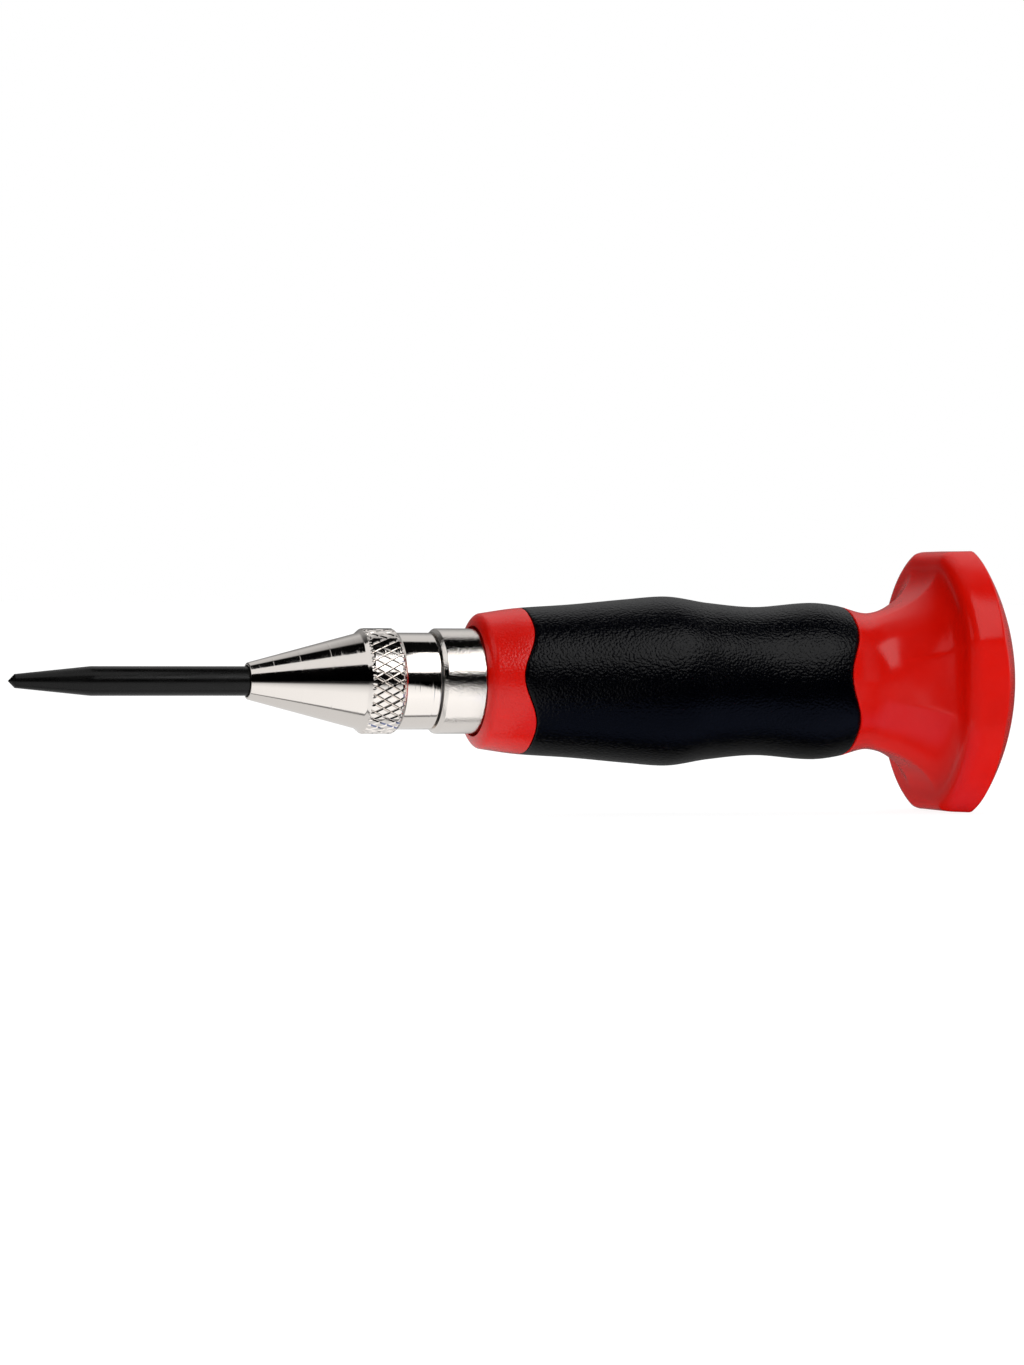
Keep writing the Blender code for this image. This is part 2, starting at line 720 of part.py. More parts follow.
def handle_core(material):
    """Hard core: blind bore for the barrel, collar, recess for the soft grip, neck and palm knob."""
    bottom = PLUG_REAR + SEAT_GAP - COLLAR_FRONT
    rings = [
        [(bottom, 0.0, 0.0)],
        even_ring(HANDLE_SIDES, bottom, HANDLE_BORE),
        even_ring(HANDLE_SIDES, MOUTH_DEPTH, HANDLE_BORE),
    ]
    rings += lip_rings()
    for step in range(COLLAR_STEPS + 1):
        share = step / COLLAR_STEPS
        rings.append(skin_ring(between(lambda angle: LIP_LENGTH, grip_front, share)))
    rings.append(ring(HANDLE_SIDES, grip_front, lambda angle: CORE_RADIUS))
    rings.append(ring(HANDLE_SIDES, grip_rear, lambda angle: CORE_RADIUS))
    for step in range(NECK_STEPS + 1):
        rings.append(skin_ring(between(grip_rear, lambda angle: NECK, step / NECK_STEPS)))
    rings += knob_rings()
    add_object("handle_core", loft("handle_core", rings), COLLAR_FRONT, material)


def grip_sleeve(material):
    """Soft sleeve moulded into the core's recess, with wavy ends."""

    def front(angle):
        return grip_front(angle) + SEAT_GAP

    def rear(angle):
        return grip_rear(angle) - SEAT_GAP

    rings = [ring(HANDLE_SIDES, front, lambda angle: GRIP_BORE)]
    for step in range(GRIP_STEPS + 1):
        rings.append(skin_ring(between(front, rear, step / GRIP_STEPS)))
    rings.append(ring(HANDLE_SIDES, rear, lambda angle: GRIP_BORE))
    mesh = loft("grip_sleeve", rings, closed=True)
    add_object("grip_sleeve", mesh, COLLAR_FRONT, material)


def build():
    clear_scene()
    axis = bpy.data.objects.new("tool_axis", None)
    bpy.context.collection.objects.link(axis)
    axis.location.x = -OVERALL_LENGTH / 2
    punch_point(principled("black_steel", (0.010, 0.010, 0.011), 0.40, 1.0))
    nose_cone(principled("nickel_plate", (0.80, 0.78, 0.75), 0.12, 1.0))
    barrel(principled("satin_nickel", (0.80, 0.79, 0.77), 0.22, 1.0))
    drive_spindle(principled("spindle_steel", (0.42, 0.42, 0.43), 0.35, 1.0))
    thread_bush(principled("bush_steel", (0.50, 0.50, 0.51), 0.35, 1.0))
    hammer(principled("hammer_steel", (0.36, 0.36, 0.37), 0.40, 1.0))
    sear(principled("sear_steel", (0.30, 0.30, 0.31), 0.40, 1.0))
    springs(principled("spring_wire", (0.34, 0.34, 0.35), 0.35, 1.0))
    end_plug(principled("plug_steel", (0.45, 0.45, 0.46), 0.40, 1.0))
    handle_core(principled("red_plastic", (0.60, 0.008, 0.003), 0.30, 0.0))
    grip_sleeve(principled("black_rubber", (0.006, 0.006, 0.008), 0.55, 0.0))
    print(f"overall length {OVERALL_LENGTH * 1000:.2f} mm")


build()
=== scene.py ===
"""Looks of the automatic centre punch: finishes, fine surfaces, studio and camera."""

import math

import bmesh
import bpy
from mathutils import Matrix, Vector


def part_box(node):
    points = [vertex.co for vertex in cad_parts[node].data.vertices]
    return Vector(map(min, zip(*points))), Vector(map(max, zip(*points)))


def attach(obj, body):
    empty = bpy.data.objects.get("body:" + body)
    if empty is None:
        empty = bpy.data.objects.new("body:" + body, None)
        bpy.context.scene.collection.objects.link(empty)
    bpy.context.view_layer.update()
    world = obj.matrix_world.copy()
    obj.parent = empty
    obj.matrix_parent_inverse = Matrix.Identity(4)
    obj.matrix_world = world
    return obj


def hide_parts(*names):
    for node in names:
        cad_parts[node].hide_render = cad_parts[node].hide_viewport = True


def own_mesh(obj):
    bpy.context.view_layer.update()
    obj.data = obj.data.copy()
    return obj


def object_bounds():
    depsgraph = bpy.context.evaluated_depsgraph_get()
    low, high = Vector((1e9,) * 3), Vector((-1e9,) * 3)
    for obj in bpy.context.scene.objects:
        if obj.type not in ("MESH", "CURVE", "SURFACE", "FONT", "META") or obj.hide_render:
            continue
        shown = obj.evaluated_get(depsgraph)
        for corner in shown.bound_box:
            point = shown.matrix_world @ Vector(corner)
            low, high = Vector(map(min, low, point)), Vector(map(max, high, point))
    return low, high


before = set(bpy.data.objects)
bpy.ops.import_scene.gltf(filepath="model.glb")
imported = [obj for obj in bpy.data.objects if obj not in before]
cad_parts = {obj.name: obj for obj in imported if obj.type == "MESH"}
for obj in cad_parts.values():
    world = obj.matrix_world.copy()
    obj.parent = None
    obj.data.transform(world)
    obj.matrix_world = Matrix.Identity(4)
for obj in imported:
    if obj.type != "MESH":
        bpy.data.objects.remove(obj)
cad_low, cad_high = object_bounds()


# Barrel: a drawn steel tube, bored wide in front for the sear and narrower behind for the hammer.
# It is barrel-plated in satin nickel, which leaves a fine pebbled skin, and pressed into the handle.
barrel_low, barrel_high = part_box("barrel")
barrel_radius = barrel_high.z
barrel_bevel = 0.0005
barrel_wall = 0.0011
rear_bore_step = 0.0008
ramp_from_front = 0.0208
ramp_length = 0.0025
edge_round = 0.00012
round_sides = 160
crisp_angle = math.radians(32)
fillet_share = 0.49
weld_distance = 1e-7
nickel_colour = (0.86, 0.81, 0.765, 1.0)


def rounded_outline(corners, steps=5):
    """An outline through (station, radius, fillet) corners, with an arc where there is a fillet."""
    points = []
    count = len(corners)
    for k, (x, r, fillet) in enumerate(corners):
        here = Vector((x, r))
        before = Vector(corners[k - 1][:2]) - here
        after = Vector(corners[(k + 1) % count][:2]) - here
        if not fillet or before.length == 0 or after.length == 0:
            points.append((x, r))
            continue
        half = before.angle(after) / 2
        room = fillet_share * min(before.length, after.length)
        reach = min(fillet / math.tan(half), room)
        first = here + before.normalized() * reach
        last = here + after.normalized() * reach
        for step in range(steps + 1):
            u = step / steps
            spot = first * (1 - u) ** 2 + here * 2 * u * (1 - u) + last * u**2
            points.append((spot.x, spot.y))
    return points


def finished_mesh(name, bm):
    """Closes a bmesh into a mesh with outward faces, smooth on its round stretches."""
    bmesh.ops.remove_doubles(bm, verts=bm.verts, dist=weld_distance)
    bmesh.ops.recalc_face_normals(bm, faces=bm.faces)
    mesh = bpy.data.meshes.new(name)
    bm.to_mesh(mesh)
    bm.free()
    mesh.shade_smooth()
    mesh.set_sharp_from_angle(angle=crisp_angle)
    return mesh


def skin_rings(bm, rings, closed=False):
    """Faces between neighbouring rings of points; a ring of one point closes an end."""
    rows = [[bm.verts.new(point) for point in points] for points in rings]
    pairs = list(zip(rows, rows[1:]))
    if closed:
        pairs.append((rows[-1], rows[0]))
    for near, far in pairs:
        count = max(len(near), len(far))
        for i in range(count):
            j = (i + 1) % count
            corners = (near[i % len(near)], near[j % len(near)], far[j % len(far)], far[i % len(far)])
            bm.faces.new(list(dict.fromkeys(corners)))


def round_ring(x, r, sides=round_sides):
    """A ring of points round the tool's axis, or one point where the radius is nothing."""
    if r < weld_distance:
        return [(x, 0.0, 0.0)]
    turn = 2 * math.pi / sides
    return [(x, -r * math.cos(turn * i), r * math.sin(turn * i)) for i in range(sides)]


def turned_mesh(name, corners, sides=round_sides, closed=False):
    """A mesh turned round the tool's axis from an outline's corners."""
    bm = bmesh.new()
    skin_rings(bm, [round_ring(x, r, sides) for x, r in rounded_outline(corners)], closed)
    return finished_mesh(name, bm)


def add_piece(name, mesh, material, body, node):
    """A finished piece at the origin that stands for a solid and moves with its body."""
    piece = bpy.data.objects.new(name, mesh)
    bpy.context.scene.collection.objects.link(piece)
    mesh.materials.clear()
    mesh.materials.append(material)
    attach(piece, body)
    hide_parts(node)
    return piece


def add_node(tree, kind, inputs=None, **settings):
    """A node with its settings and its unlinked input values."""
    node = tree.nodes.new(kind)
    for key, value in settings.items():
        setattr(node, key, value)
    for key, value in (inputs or {}).items():
        node.inputs[key].default_value = value
    return node


def new_group(name, kind, inputs, outputs):
    """An empty node group with named sockets; returns the tree and its two end nodes."""
    tree = bpy.data.node_groups.new(name, kind)
    for label, socket in inputs:
        tree.interface.new_socket(label, in_out="INPUT", socket_type=socket)
    for label, socket in outputs:
        tree.interface.new_socket(label, in_out="OUTPUT", socket_type=socket)
    return tree, tree.nodes.new("NodeGroupInput"), tree.nodes.new("NodeGroupOutput")


def new_material(name, colour, roughness, metallic, specular=0.5):
    """A material with a Principled shader and an object-space texture coordinate."""
    material = bpy.data.materials.new(name)
    material.use_nodes = True
    tree = material.node_tree
    shader = tree.nodes["Principled BSDF"]
    shader.inputs["Base Color"].default_value = colour
    shader.inputs["Roughness"].default_value = roughness
    shader.inputs["Metallic"].default_value = metallic
    shader.inputs["Specular IOR Level"].default_value = specular
    place = tree.nodes.new("ShaderNodeTexCoord").outputs["Object"]
    return material, tree, shader, place


def add_bump(tree, shader, height, distance, below=None):
    """A bump that feeds the shader's normal, over another bump where there is one."""
    bump = add_node(tree, "ShaderNodeBump", {"Distance": distance, "Strength": 1.0})
    tree.links.new(height, bump.inputs["Height"])
    if below:
        tree.links.new(below.outputs["Normal"], bump.inputs["Normal"])
    tree.links.new(bump.outputs["Normal"], shader.inputs["Normal"])
    return bump


def place_group(tree, group, place, **values):
    """A shader group in a material, fed with the object coordinate and its own values."""
    node = add_node(tree, "ShaderNodeGroup", node_tree=group)
    tree.links.new(place, node.inputs["Place"])
    for key, value in values.items():
        node.inputs[key].default_value = value
    return node


# Pebbled skin: the small soft bumps of plated, cast or moulded surfaces.
pebble, pebble_in, pebble_out = new_group(
    "pebbled_skin",
    "ShaderNodeTree",
    [("Place", "NodeSocketVector"), ("Scale", "NodeSocketFloat"), ("Warp", "NodeSocketFloat")],
    [("Height", "NodeSocketFloat")],
)
pebble_noise = add_node(pebble, "ShaderNodeTexNoise", {"Detail": 2.0, "Roughness": 0.55})
pebble_cells = add_node(
    pebble, "ShaderNodeTexVoronoi", {"Smoothness": 0.6, "Randomness": 1.0}, feature="SMOOTH_F1"
)
pebble_shift = add_node(pebble, "ShaderNodeMix", data_type="VECTOR")
pebble_sum = add_node(pebble, "ShaderNodeMath", {1: -1.0}, operation="MULTIPLY_ADD")
pebble.links.new(pebble_in.outputs["Place"], pebble_noise.inputs["Vector"])
pebble.links.new(pebble_in.outputs["Scale"], pebble_noise.inputs["Scale"])
pebble.links.new(pebble_in.outputs["Scale"], pebble_cells.inputs["Scale"])
pebble.links.new(pebble_in.outputs["Warp"], pebble_shift.inputs["Factor"])
pebble.links.new(pebble_in.outputs["Place"], pebble_shift.inputs["A"])
pebble.links.new(pebble_noise.outputs["Color"], pebble_shift.inputs["B"])
pebble.links.new(pebble_shift.outputs["Result"], pebble_cells.inputs["Vector"])
pebble.links.new(pebble_cells.outputs["Distance"], pebble_sum.inputs[0])
pebble.links.new(pebble_noise.outputs["Fac"], pebble_sum.inputs[2])
pebble.links.new(pebble_sum.outputs["Value"], pebble_out.inputs["Height"])

# Handling marks: faint cloudy changes of gloss left by fingers and by the plating bath.
smudge, smudge_in, smudge_out = new_group(
    "handling_marks",
    "ShaderNodeTree",
    [
        ("Place", "NodeSocketVector"),
        ("Scale", "NodeSocketFloat"),
        ("Least", "NodeSocketFloat"),
        ("Most", "NodeSocketFloat"),
    ],
    [("Value", "NodeSocketFloat")],
)
smudge_noise = add_node(
    smudge, "ShaderNodeTexNoise", {"Detail": 4.0, "Roughness": 0.6, "Distortion": 0.4}
)
smudge_range = add_node(smudge, "ShaderNodeMapRange", {"From Min": 0.3, "From Max": 0.7})
smudge.links.new(smudge_in.outputs["Place"], smudge_noise.inputs["Vector"])
smudge.links.new(smudge_in.outputs["Scale"], smudge_noise.inputs["Scale"])
smudge.links.new(smudge_noise.outputs["Fac"], smudge_range.inputs["Value"])
smudge.links.new(smudge_in.outputs["Least"], smudge_range.inputs["To Min"])
smudge.links.new(smudge_in.outputs["Most"], smudge_range.inputs["To Max"])
smudge.links.new(smudge_range.outputs["Result"], smudge_out.inputs["Value"])


def add_gloss(tree, shader, place, scale, least, most):
    """Cloudy roughness between two values."""
    marks = place_group(tree, smudge, place, Scale=scale, Least=least, Most=most)
    tree.links.new(marks.outputs["Value"], shader.inputs["Roughness"])


satin_nickel, tree, shader, place = new_material(
    "satin_nickel", nickel_colour, roughness=0.10, metallic=1.0
)
grain = place_group(tree, pebble, place, Scale=5600.0, Warp=0.00006)
add_bump(tree, shader, grain.outputs["Height"], distance=0.000014)
add_gloss(tree, shader, place, scale=260.0, least=0.05, most=0.11)

front_bore = barrel_radius - barrel_wall
rear_bore = front_bore - rear_bore_step
ramp_front = barrel_low.x + ramp_from_front
barrel_corners = [
    (barrel_low.x, front_bore, 0.0),
    (barrel_low.x, barrel_radius - barrel_bevel, edge_round),
    (barrel_low.x + barrel_bevel, barrel_radius, edge_round),
    (barrel_high.x, barrel_radius, edge_round),
    (barrel_high.x, rear_bore, 0.0),
    (ramp_front + ramp_length, rear_bore, 0.0),
    (ramp_front, front_bore, 0.0),
]
barrel_mesh = turned_mesh("barrel_tube", barrel_corners, closed=True)
add_piece("barrel_tube", barrel_mesh, satin_nickel, "handle", "barrel")


# Bush, hammer, sear, spindle and plug: turned from bar steel and left bare inside the barrel.
# The bush and the plug are pressed in, the hammer and the sear run in their bores.
turning, turning_in, turning_out = new_group(
    "turning_marks",
    "ShaderNodeTree",
    [("Place", "NodeSocketVector"), ("Pitch", "NodeSocketFloat")],
    [("Height", "NodeSocketFloat")],
)
turning_split = add_node(turning, "ShaderNodeSeparateXYZ")
turning_scale = add_node(turning, "ShaderNodeMath", operation="DIVIDE")
turning_noise = add_node(
    turning,
    "ShaderNodeTexNoise",
    {"Scale": 1.0, "Detail": 3.0, "Roughness": 0.65},
    noise_dimensions="1D",
)
turning.links.new(turning_in.outputs["Place"], turning_split.inputs["Vector"])
turning.links.new(turning_split.outputs["X"], turning_scale.inputs[0])
turning.links.new(turning_in.outputs["Pitch"], turning_scale.inputs[1])
turning.links.new(turning_scale.outputs["Value"], turning_noise.inputs["W"])
turning.links.new(turning_noise.outputs["Fac"], turning_out.inputs["Height"])


def bare_steel(name, colour, roughness):
    """Bare turned steel with fine rings and uneven gloss."""
    material, tree, shader, place = new_material(name, colour, roughness, metallic=1.0)
    rings = place_group(tree, turning, place, Pitch=0.0003)
    add_bump(tree, shader, rings.outputs["Height"], distance=0.000008)
    add_gloss(tree, shader, place, scale=300.0, least=roughness - 0.08, most=roughness + 0.1)
    return material


inner_finishes = {
    "thread_bush": bare_steel("bush_steel", (0.50, 0.50, 0.51, 1.0), 0.30),
    "hammer": bare_steel("hammer_steel", (0.36, 0.36, 0.37, 1.0), 0.36),
    "sear": bare_steel("sear_steel", (0.30, 0.30, 0.31, 1.0), 0.34),
    "drive_spindle": bare_steel("spindle_steel", (0.42, 0.42, 0.43, 1.0), 0.30),
    "end_plug": bare_steel("plug_steel", (0.45, 0.45, 0.46, 1.0), 0.36),
}
for node, finish in inner_finishes.items():
    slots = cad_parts[node].data.materials
    slots.clear()
    slots.append(finish)


# Springs: round drawn wire wound with closed end turns, seated on the spindle's flange, on the
# hammer's boss and under the sear. The main spring's wire is thick, because it stores the blow.
wire_sides = 14
points_per_turn = 40
closed_turns = 1.0
closed_pitch = 1.06

spring_tree, spring_in, spring_out = new_group(
    "wound_spring",
    "GeometryNodeTree",
    [
        ("Length", "NodeSocketFloat"),
        ("Coil Radius", "NodeSocketFloat"),
        ("Wire Radius", "NodeSocketFloat"),
        ("Turns", "NodeSocketFloat"),
        ("Closed Turns", "NodeSocketFloat"),
        ("Closed Rise", "NodeSocketFloat"),
        ("Points", "NodeSocketInt"),
        ("Finish", "NodeSocketMaterial"),
    ],
    [("Geometry", "NodeSocketGeometry")],
)


def feed(tree, value, socket):
    """Sets a socket to a number, or links another node's output to it."""
    if isinstance(value, (int, float)):
        socket.default_value = value
    else:
        tree.links.new(value, socket)


def add_math(tree, operation, first, second=0.0, clamp=False):
    """The output of a math node that is fed with numbers or outputs."""
    node = add_node(tree, "ShaderNodeMath", operation=operation, use_clamp=clamp)
    feed(tree, first, node.inputs[0])
    feed(tree, second, node.inputs[1])
    return node.outputs["Value"]


def spring_math(operation, first, second=0.0):
    return add_math(spring_tree, operation, first, second)


def spring_rise(start, end, height):
    """A height that grows from 0 while the wire's factor runs from start to end."""
    node = add_node(spring_tree, "ShaderNodeMapRange", {"To Min": 0.0})
    for label, value in (("Value", along), ("From Min", start), ("From Max", end), ("To Max", height)):
        feed(spring_tree, value, node.inputs[label])
    return node.outputs["Result"]


along = add_node(spring_tree, "GeometryNodeSplineParameter").outputs["Factor"]
wire_line = add_node(spring_tree, "GeometryNodeCurvePrimitiveLine")
wire_points = add_node(spring_tree, "GeometryNodeResampleCurve", mode="COUNT")
spring_tree.links.new(wire_line.outputs["Curve"], wire_points.inputs["Curve"])
spring_tree.links.new(spring_in.outputs["Points"], wire_points.inputs["Count"])
closed_share = spring_math("DIVIDE", spring_in.outputs["Closed Turns"], spring_in.outputs["Turns"])
open_end = spring_math("SUBTRACT", 1.0, closed_share)
end_rises = spring_math("MULTIPLY", spring_in.outputs["Closed Rise"], 2.0)
wire_width = spring_math("MULTIPLY", spring_in.outputs["Wire Radius"], 2.0)
clear_length = spring_math("SUBTRACT", spring_in.outputs["Length"], wire_width)
open_rise = spring_math("SUBTRACT", clear_length, end_rises)
first_rise = spring_rise(0.0, closed_share, spring_in.outputs["Closed Rise"])
middle_rise = spring_rise(closed_share, open_end, open_rise)
last_rise = spring_rise(open_end, 1.0, spring_in.outputs["Closed Rise"])
height = spring_math("ADD", spring_math("ADD", first_rise, middle_rise), last_rise)
height = spring_math("ADD", height, spring_in.outputs["Wire Radius"])
angle = spring_math("MULTIPLY", spring_math("MULTIPLY", along, spring_in.outputs["Turns"]), 2 * math.pi)
across = spring_math("MULTIPLY", spring_math("COSINE", angle), spring_in.outputs["Coil Radius"])
upward = spring_math("MULTIPLY", spring_math("SINE", angle), spring_in.outputs["Coil Radius"])
wire_place = add_node(spring_tree, "ShaderNodeCombineXYZ")
for label, value in (("X", height), ("Y", across), ("Z", upward)):
    spring_tree.links.new(value, wire_place.inputs[label])
wire_bend = add_node(spring_tree, "GeometryNodeSetPosition")
spring_tree.links.new(wire_points.outputs["Curve"], wire_bend.inputs["Geometry"])
spring_tree.links.new(wire_place.outputs["Vector"], wire_bend.inputs["Position"])
wire_section = add_node(spring_tree, "GeometryNodeCurvePrimitiveCircle", {"Resolution": wire_sides})
spring_tree.links.new(spring_in.outputs["Wire Radius"], wire_section.inputs["Radius"])
wire_skin = add_node(spring_tree, "GeometryNodeCurveToMesh", {"Fill Caps": True})
spring_tree.links.new(wire_bend.outputs["Geometry"], wire_skin.inputs["Curve"])
spring_tree.links.new(wire_section.outputs["Curve"], wire_skin.inputs["Profile Curve"])
wire_real = add_node(spring_tree, "GeometryNodeRealizeInstances")
wire_finish = add_node(spring_tree, "GeometryNodeSetMaterial")
spring_tree.links.new(wire_skin.outputs["Mesh"], wire_real.inputs["Geometry"])
spring_tree.links.new(wire_real.outputs["Geometry"], wire_finish.inputs["Geometry"])
spring_tree.links.new(spring_in.outputs["Finish"], wire_finish.inputs["Material"])
spring_tree.links.new(wire_finish.outputs["Geometry"], spring_out.inputs["Geometry"])


def grown_mesh(name, group, values):
    """The plain mesh that a geometry node group makes from its named values."""
    seed = bpy.data.objects.new(name, bpy.data.meshes.new(name))
    bpy.context.scene.collection.objects.link(seed)
    modifier = seed.modifiers.new(name, "NODES")
    modifier.node_group = group
    for item in group.interface.items_tree:
        if item.in_out == "INPUT" and item.name in values:
            modifier[item.identifier] = values[item.name]
    bpy.context.view_layer.update()
    evaluated = seed.evaluated_get(bpy.context.evaluated_depsgraph_get())
    mesh = bpy.data.meshes.new_from_object(evaluated)
    bpy.data.objects.remove(seed)
    return mesh


wire_colour = (0.34, 0.34, 0.35, 1.0)
spring_wire, tree, shader, place = new_material("spring_wire", wire_colour, roughness=0.3, metallic=1.0)
add_gloss(tree, shader, place, scale=900.0, least=0.2, most=0.42)
streaks = place_group(tree, pebble, place, Scale=3000.0, Warp=0.0)
add_bump(tree, shader, streaks.outputs["Height"], distance=0.000006)


def wound_spring(name, node, body, axis, wire, turns):
    """A spring that fills its solid's place and is pressed shut towards its fixed end by the joint."""
    low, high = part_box(node)
    along_x = axis.x == 1.0
    length = high.x - low.x if along_x else high.z - low.z
    outer = (high.y - low.y) / 2
    all_turns = turns + 2 * closed_turns
    values = {
        "Length": length,
        "Coil Radius": outer - wire / 2,
        "Wire Radius": wire / 2,
        "Turns": all_turns,
        "Closed Turns": closed_turns,
        "Closed Rise": wire * closed_turns * closed_pitch,
        "Points": int(all_turns * points_per_turn),
        "Finish": spring_wire,
    }
    mesh = grown_mesh(name, spring_tree, values)
    if along_x:
        mesh.transform(Matrix.Translation((low.x, 0.0, 0.0)))
    else:
        middle = (low + high) / 2
        stand = Matrix.Rotation(-math.pi / 2, 4, "Y")
        mesh.transform(Matrix.Translation((middle.x, 0.0, low.z)) @ stand)
    mesh.shade_smooth()
    spring = add_piece(name, mesh, spring_wire, body, node)
    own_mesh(spring)


tool_axis = Vector((1.0, 0.0, 0.0))
upright = Vector((0.0, 0.0, 1.0))
wound_spring(
    "main_coil", "main_spring", "handle", tool_axis, wire=0.0015, turns=7
)
wound_spring(
    "return_coil", "return_spring", "handle", tool_axis, wire=0.0006, turns=3
)
wound_spring(
    "sear_coil", "sear_spring", "hammer", upright, wire=0.0003, turns=1
)


# Point: hardened tool steel, ground to a long taper and a conical tip, then blackened in hot oxide.
# It is pressed into the spindle's socket and slides in the nose.
point_low, point_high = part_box("punch_point")
point_radius = point_high.z
point_taper = 0.0113
tip_width = 0.0019
tip_round = 0.00008
taper_blend = 0.006
rear_round = 0.0002
point_sides = 96
point_corners = [
    (point_low.x, 0.0, 0.0),
    (point_low.x + tip_width / 2, tip_width / 2, tip_round),
    (point_low.x + point_taper, point_radius, taper_blend),
    (point_high.x, point_radius, rear_round),
    (point_high.x, 0.0, 0.0),
]
oxide_colour = (0.0016, 0.0015, 0.0015, 1.0)
black_oxide, tree, shader, place = new_material(
    "black_oxide", oxide_colour, roughness=0.3, metallic=0.0, specular=0.25
)
stretch = add_node(tree, "ShaderNodeMapping", {"Scale": (0.25, 1.0, 1.0)})
tree.links.new(place, stretch.inputs["Vector"])
add_gloss(tree, shader, stretch.outputs["Vector"], scale=900.0, least=0.18, most=0.34)
grinding = place_group(tree, turning, place, Pitch=0.00012)
add_bump(tree, shader, grinding.outputs["Height"], distance=0.000004)
point_mesh = turned_mesh("ground_point", point_corners, sides=point_sides)
add_piece("ground_point", point_mesh, black_oxide, "spindle", "punch_point")


# Nose: turned from bar with a long cone, a diamond knurl for the fingers and a plain collar, then
# bright nickel-plated. It screws on the bush's spigot and holds the spindle in.
nose_low, nose_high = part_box("nose_cone")
nose_front = nose_low.x
nose_rear = nose_high.x
cone_length = 0.0152
cone_radius = 0.0065
tip_radius = 0.0025
guide_bore = 0.0022
chamber_bore = 0.0033
chamber_depth = 0.0110
thread_bore = 0.0053
knurl_radius = nose_high.z
knurl_length = 0.0056
knurl_bevel = 0.0008
knurl_depth = 0.00020
knurl_flank = 1 / 6  # share of the pitch that each flank of a groove takes
diamonds_round = 36
diamond_length = 0.00224
steps_round = 12
steps_along = 30
collar_radius = 0.0066
nose_edge_round = 0.0002
nose_weld = 2e-6
knurl_weld = 1e-6
knurl_front = nose_front + cone_length
knurl_rear = knurl_front + knurl_length
nose_sides = diamonds_round * steps_round

knurl_tree, knurl_in, knurl_out = new_group(
    "diamond_knurl",
    "GeometryNodeTree",
    [
        ("Length", "NodeSocketFloat"),
        ("Radius", "NodeSocketFloat"),
        ("Depth", "NodeSocketFloat"),
        ("Flank", "NodeSocketFloat"),
        ("Diamonds", "NodeSocketFloat"),
        ("Diamond Length", "NodeSocketFloat"),
        ("Front Radius", "NodeSocketFloat"),
        ("Rear Radius", "NodeSocketFloat"),
        ("Bevel Slope", "NodeSocketFloat"),
        ("Sides", "NodeSocketInt"),
        ("Steps", "NodeSocketInt"),
        ("Finish", "NodeSocketMaterial"),
    ],
    [("Geometry", "NodeSocketGeometry")],
)


def knurl_math(operation, first, second=0.0, clamp=False):
    return add_math(knurl_tree, operation, first, second, clamp)


knurl_grid = add_node(knurl_tree, "GeometryNodeMeshGrid", {"Size X": 1.0, "Size Y": 1.0})
knurl_tree.links.new(knurl_in.outputs["Steps"], knurl_grid.inputs["Vertices X"])
knurl_tree.links.new(knurl_in.outputs["Sides"], knurl_grid.inputs["Vertices Y"])
grid_place = add_node(knurl_tree, "GeometryNodeInputPosition")
grid_split = add_node(knurl_tree, "ShaderNodeSeparateXYZ")
knurl_tree.links.new(grid_place.outputs["Position"], grid_split.inputs["Vector"])
share_along = knurl_math("ADD", grid_split.outputs["X"], 0.5)
share_round = knurl_math("ADD", grid_split.outputs["Y"], 0.5)
from_front = knurl_math("MULTIPLY", share_along, knurl_in.outputs["Length"])
from_rear = knurl_math("SUBTRACT", knurl_in.outputs["Length"], from_front)
turn_count = knurl_math("MULTIPLY", share_round, knurl_in.outputs["Diamonds"])
row_count = knurl_math("DIVIDE", from_front, knurl_in.outputs["Diamond Length"])
left_groove = knurl_math("PINGPONG", knurl_math("ADD", turn_count, row_count), 0.5)
right_groove = knurl_math("PINGPONG", knurl_math("SUBTRACT", turn_count, row_count), 0.5)
nearest_groove = knurl_math("MINIMUM", left_groove, right_groove)
flank = knurl_math("DIVIDE", nearest_groove, knurl_in.outputs["Flank"], clamp=True)
cut = knurl_math("MULTIPLY", knurl_math("SUBTRACT", 1.0, flank), knurl_in.outputs["Depth"])
knurled = knurl_math("SUBTRACT", knurl_in.outputs["Radius"], cut)
front_bevel = knurl_math("MULTIPLY", from_front, knurl_in.outputs["Bevel Slope"])
front_limit = knurl_math("ADD", knurl_in.outputs["Front Radius"], front_bevel)
rear_bevel = knurl_math("MULTIPLY", from_rear, knurl_in.outputs["Bevel Slope"])
rear_limit = knurl_math("ADD", knurl_in.outputs["Rear Radius"], rear_bevel)
bevelled = knurl_math("MINIMUM", knurl_math("MINIMUM", knurled, front_limit), rear_limit)
knurl_angle = knurl_math("MULTIPLY", share_round, 2 * math.pi)
knurl_across = knurl_math("MULTIPLY", knurl_math("COSINE", knurl_angle), bevelled)
knurl_across = knurl_math("MULTIPLY", knurl_across, -1.0)
knurl_up = knurl_math("MULTIPLY", knurl_math("SINE", knurl_angle), bevelled)
knurl_place = add_node(knurl_tree, "ShaderNodeCombineXYZ")
for label, value in (("X", from_front), ("Y", knurl_across), ("Z", knurl_up)):
    knurl_tree.links.new(value, knurl_place.inputs[label])
knurl_wrap = add_node(knurl_tree, "GeometryNodeSetPosition")
knurl_tree.links.new(knurl_grid.outputs["Mesh"], knurl_wrap.inputs["Geometry"])
knurl_tree.links.new(knurl_place.outputs["Vector"], knurl_wrap.inputs["Position"])
knurl_close = add_node(knurl_tree, "GeometryNodeMergeByDistance", {"Distance": knurl_weld})
knurl_real = add_node(knurl_tree, "GeometryNodeRealizeInstances")
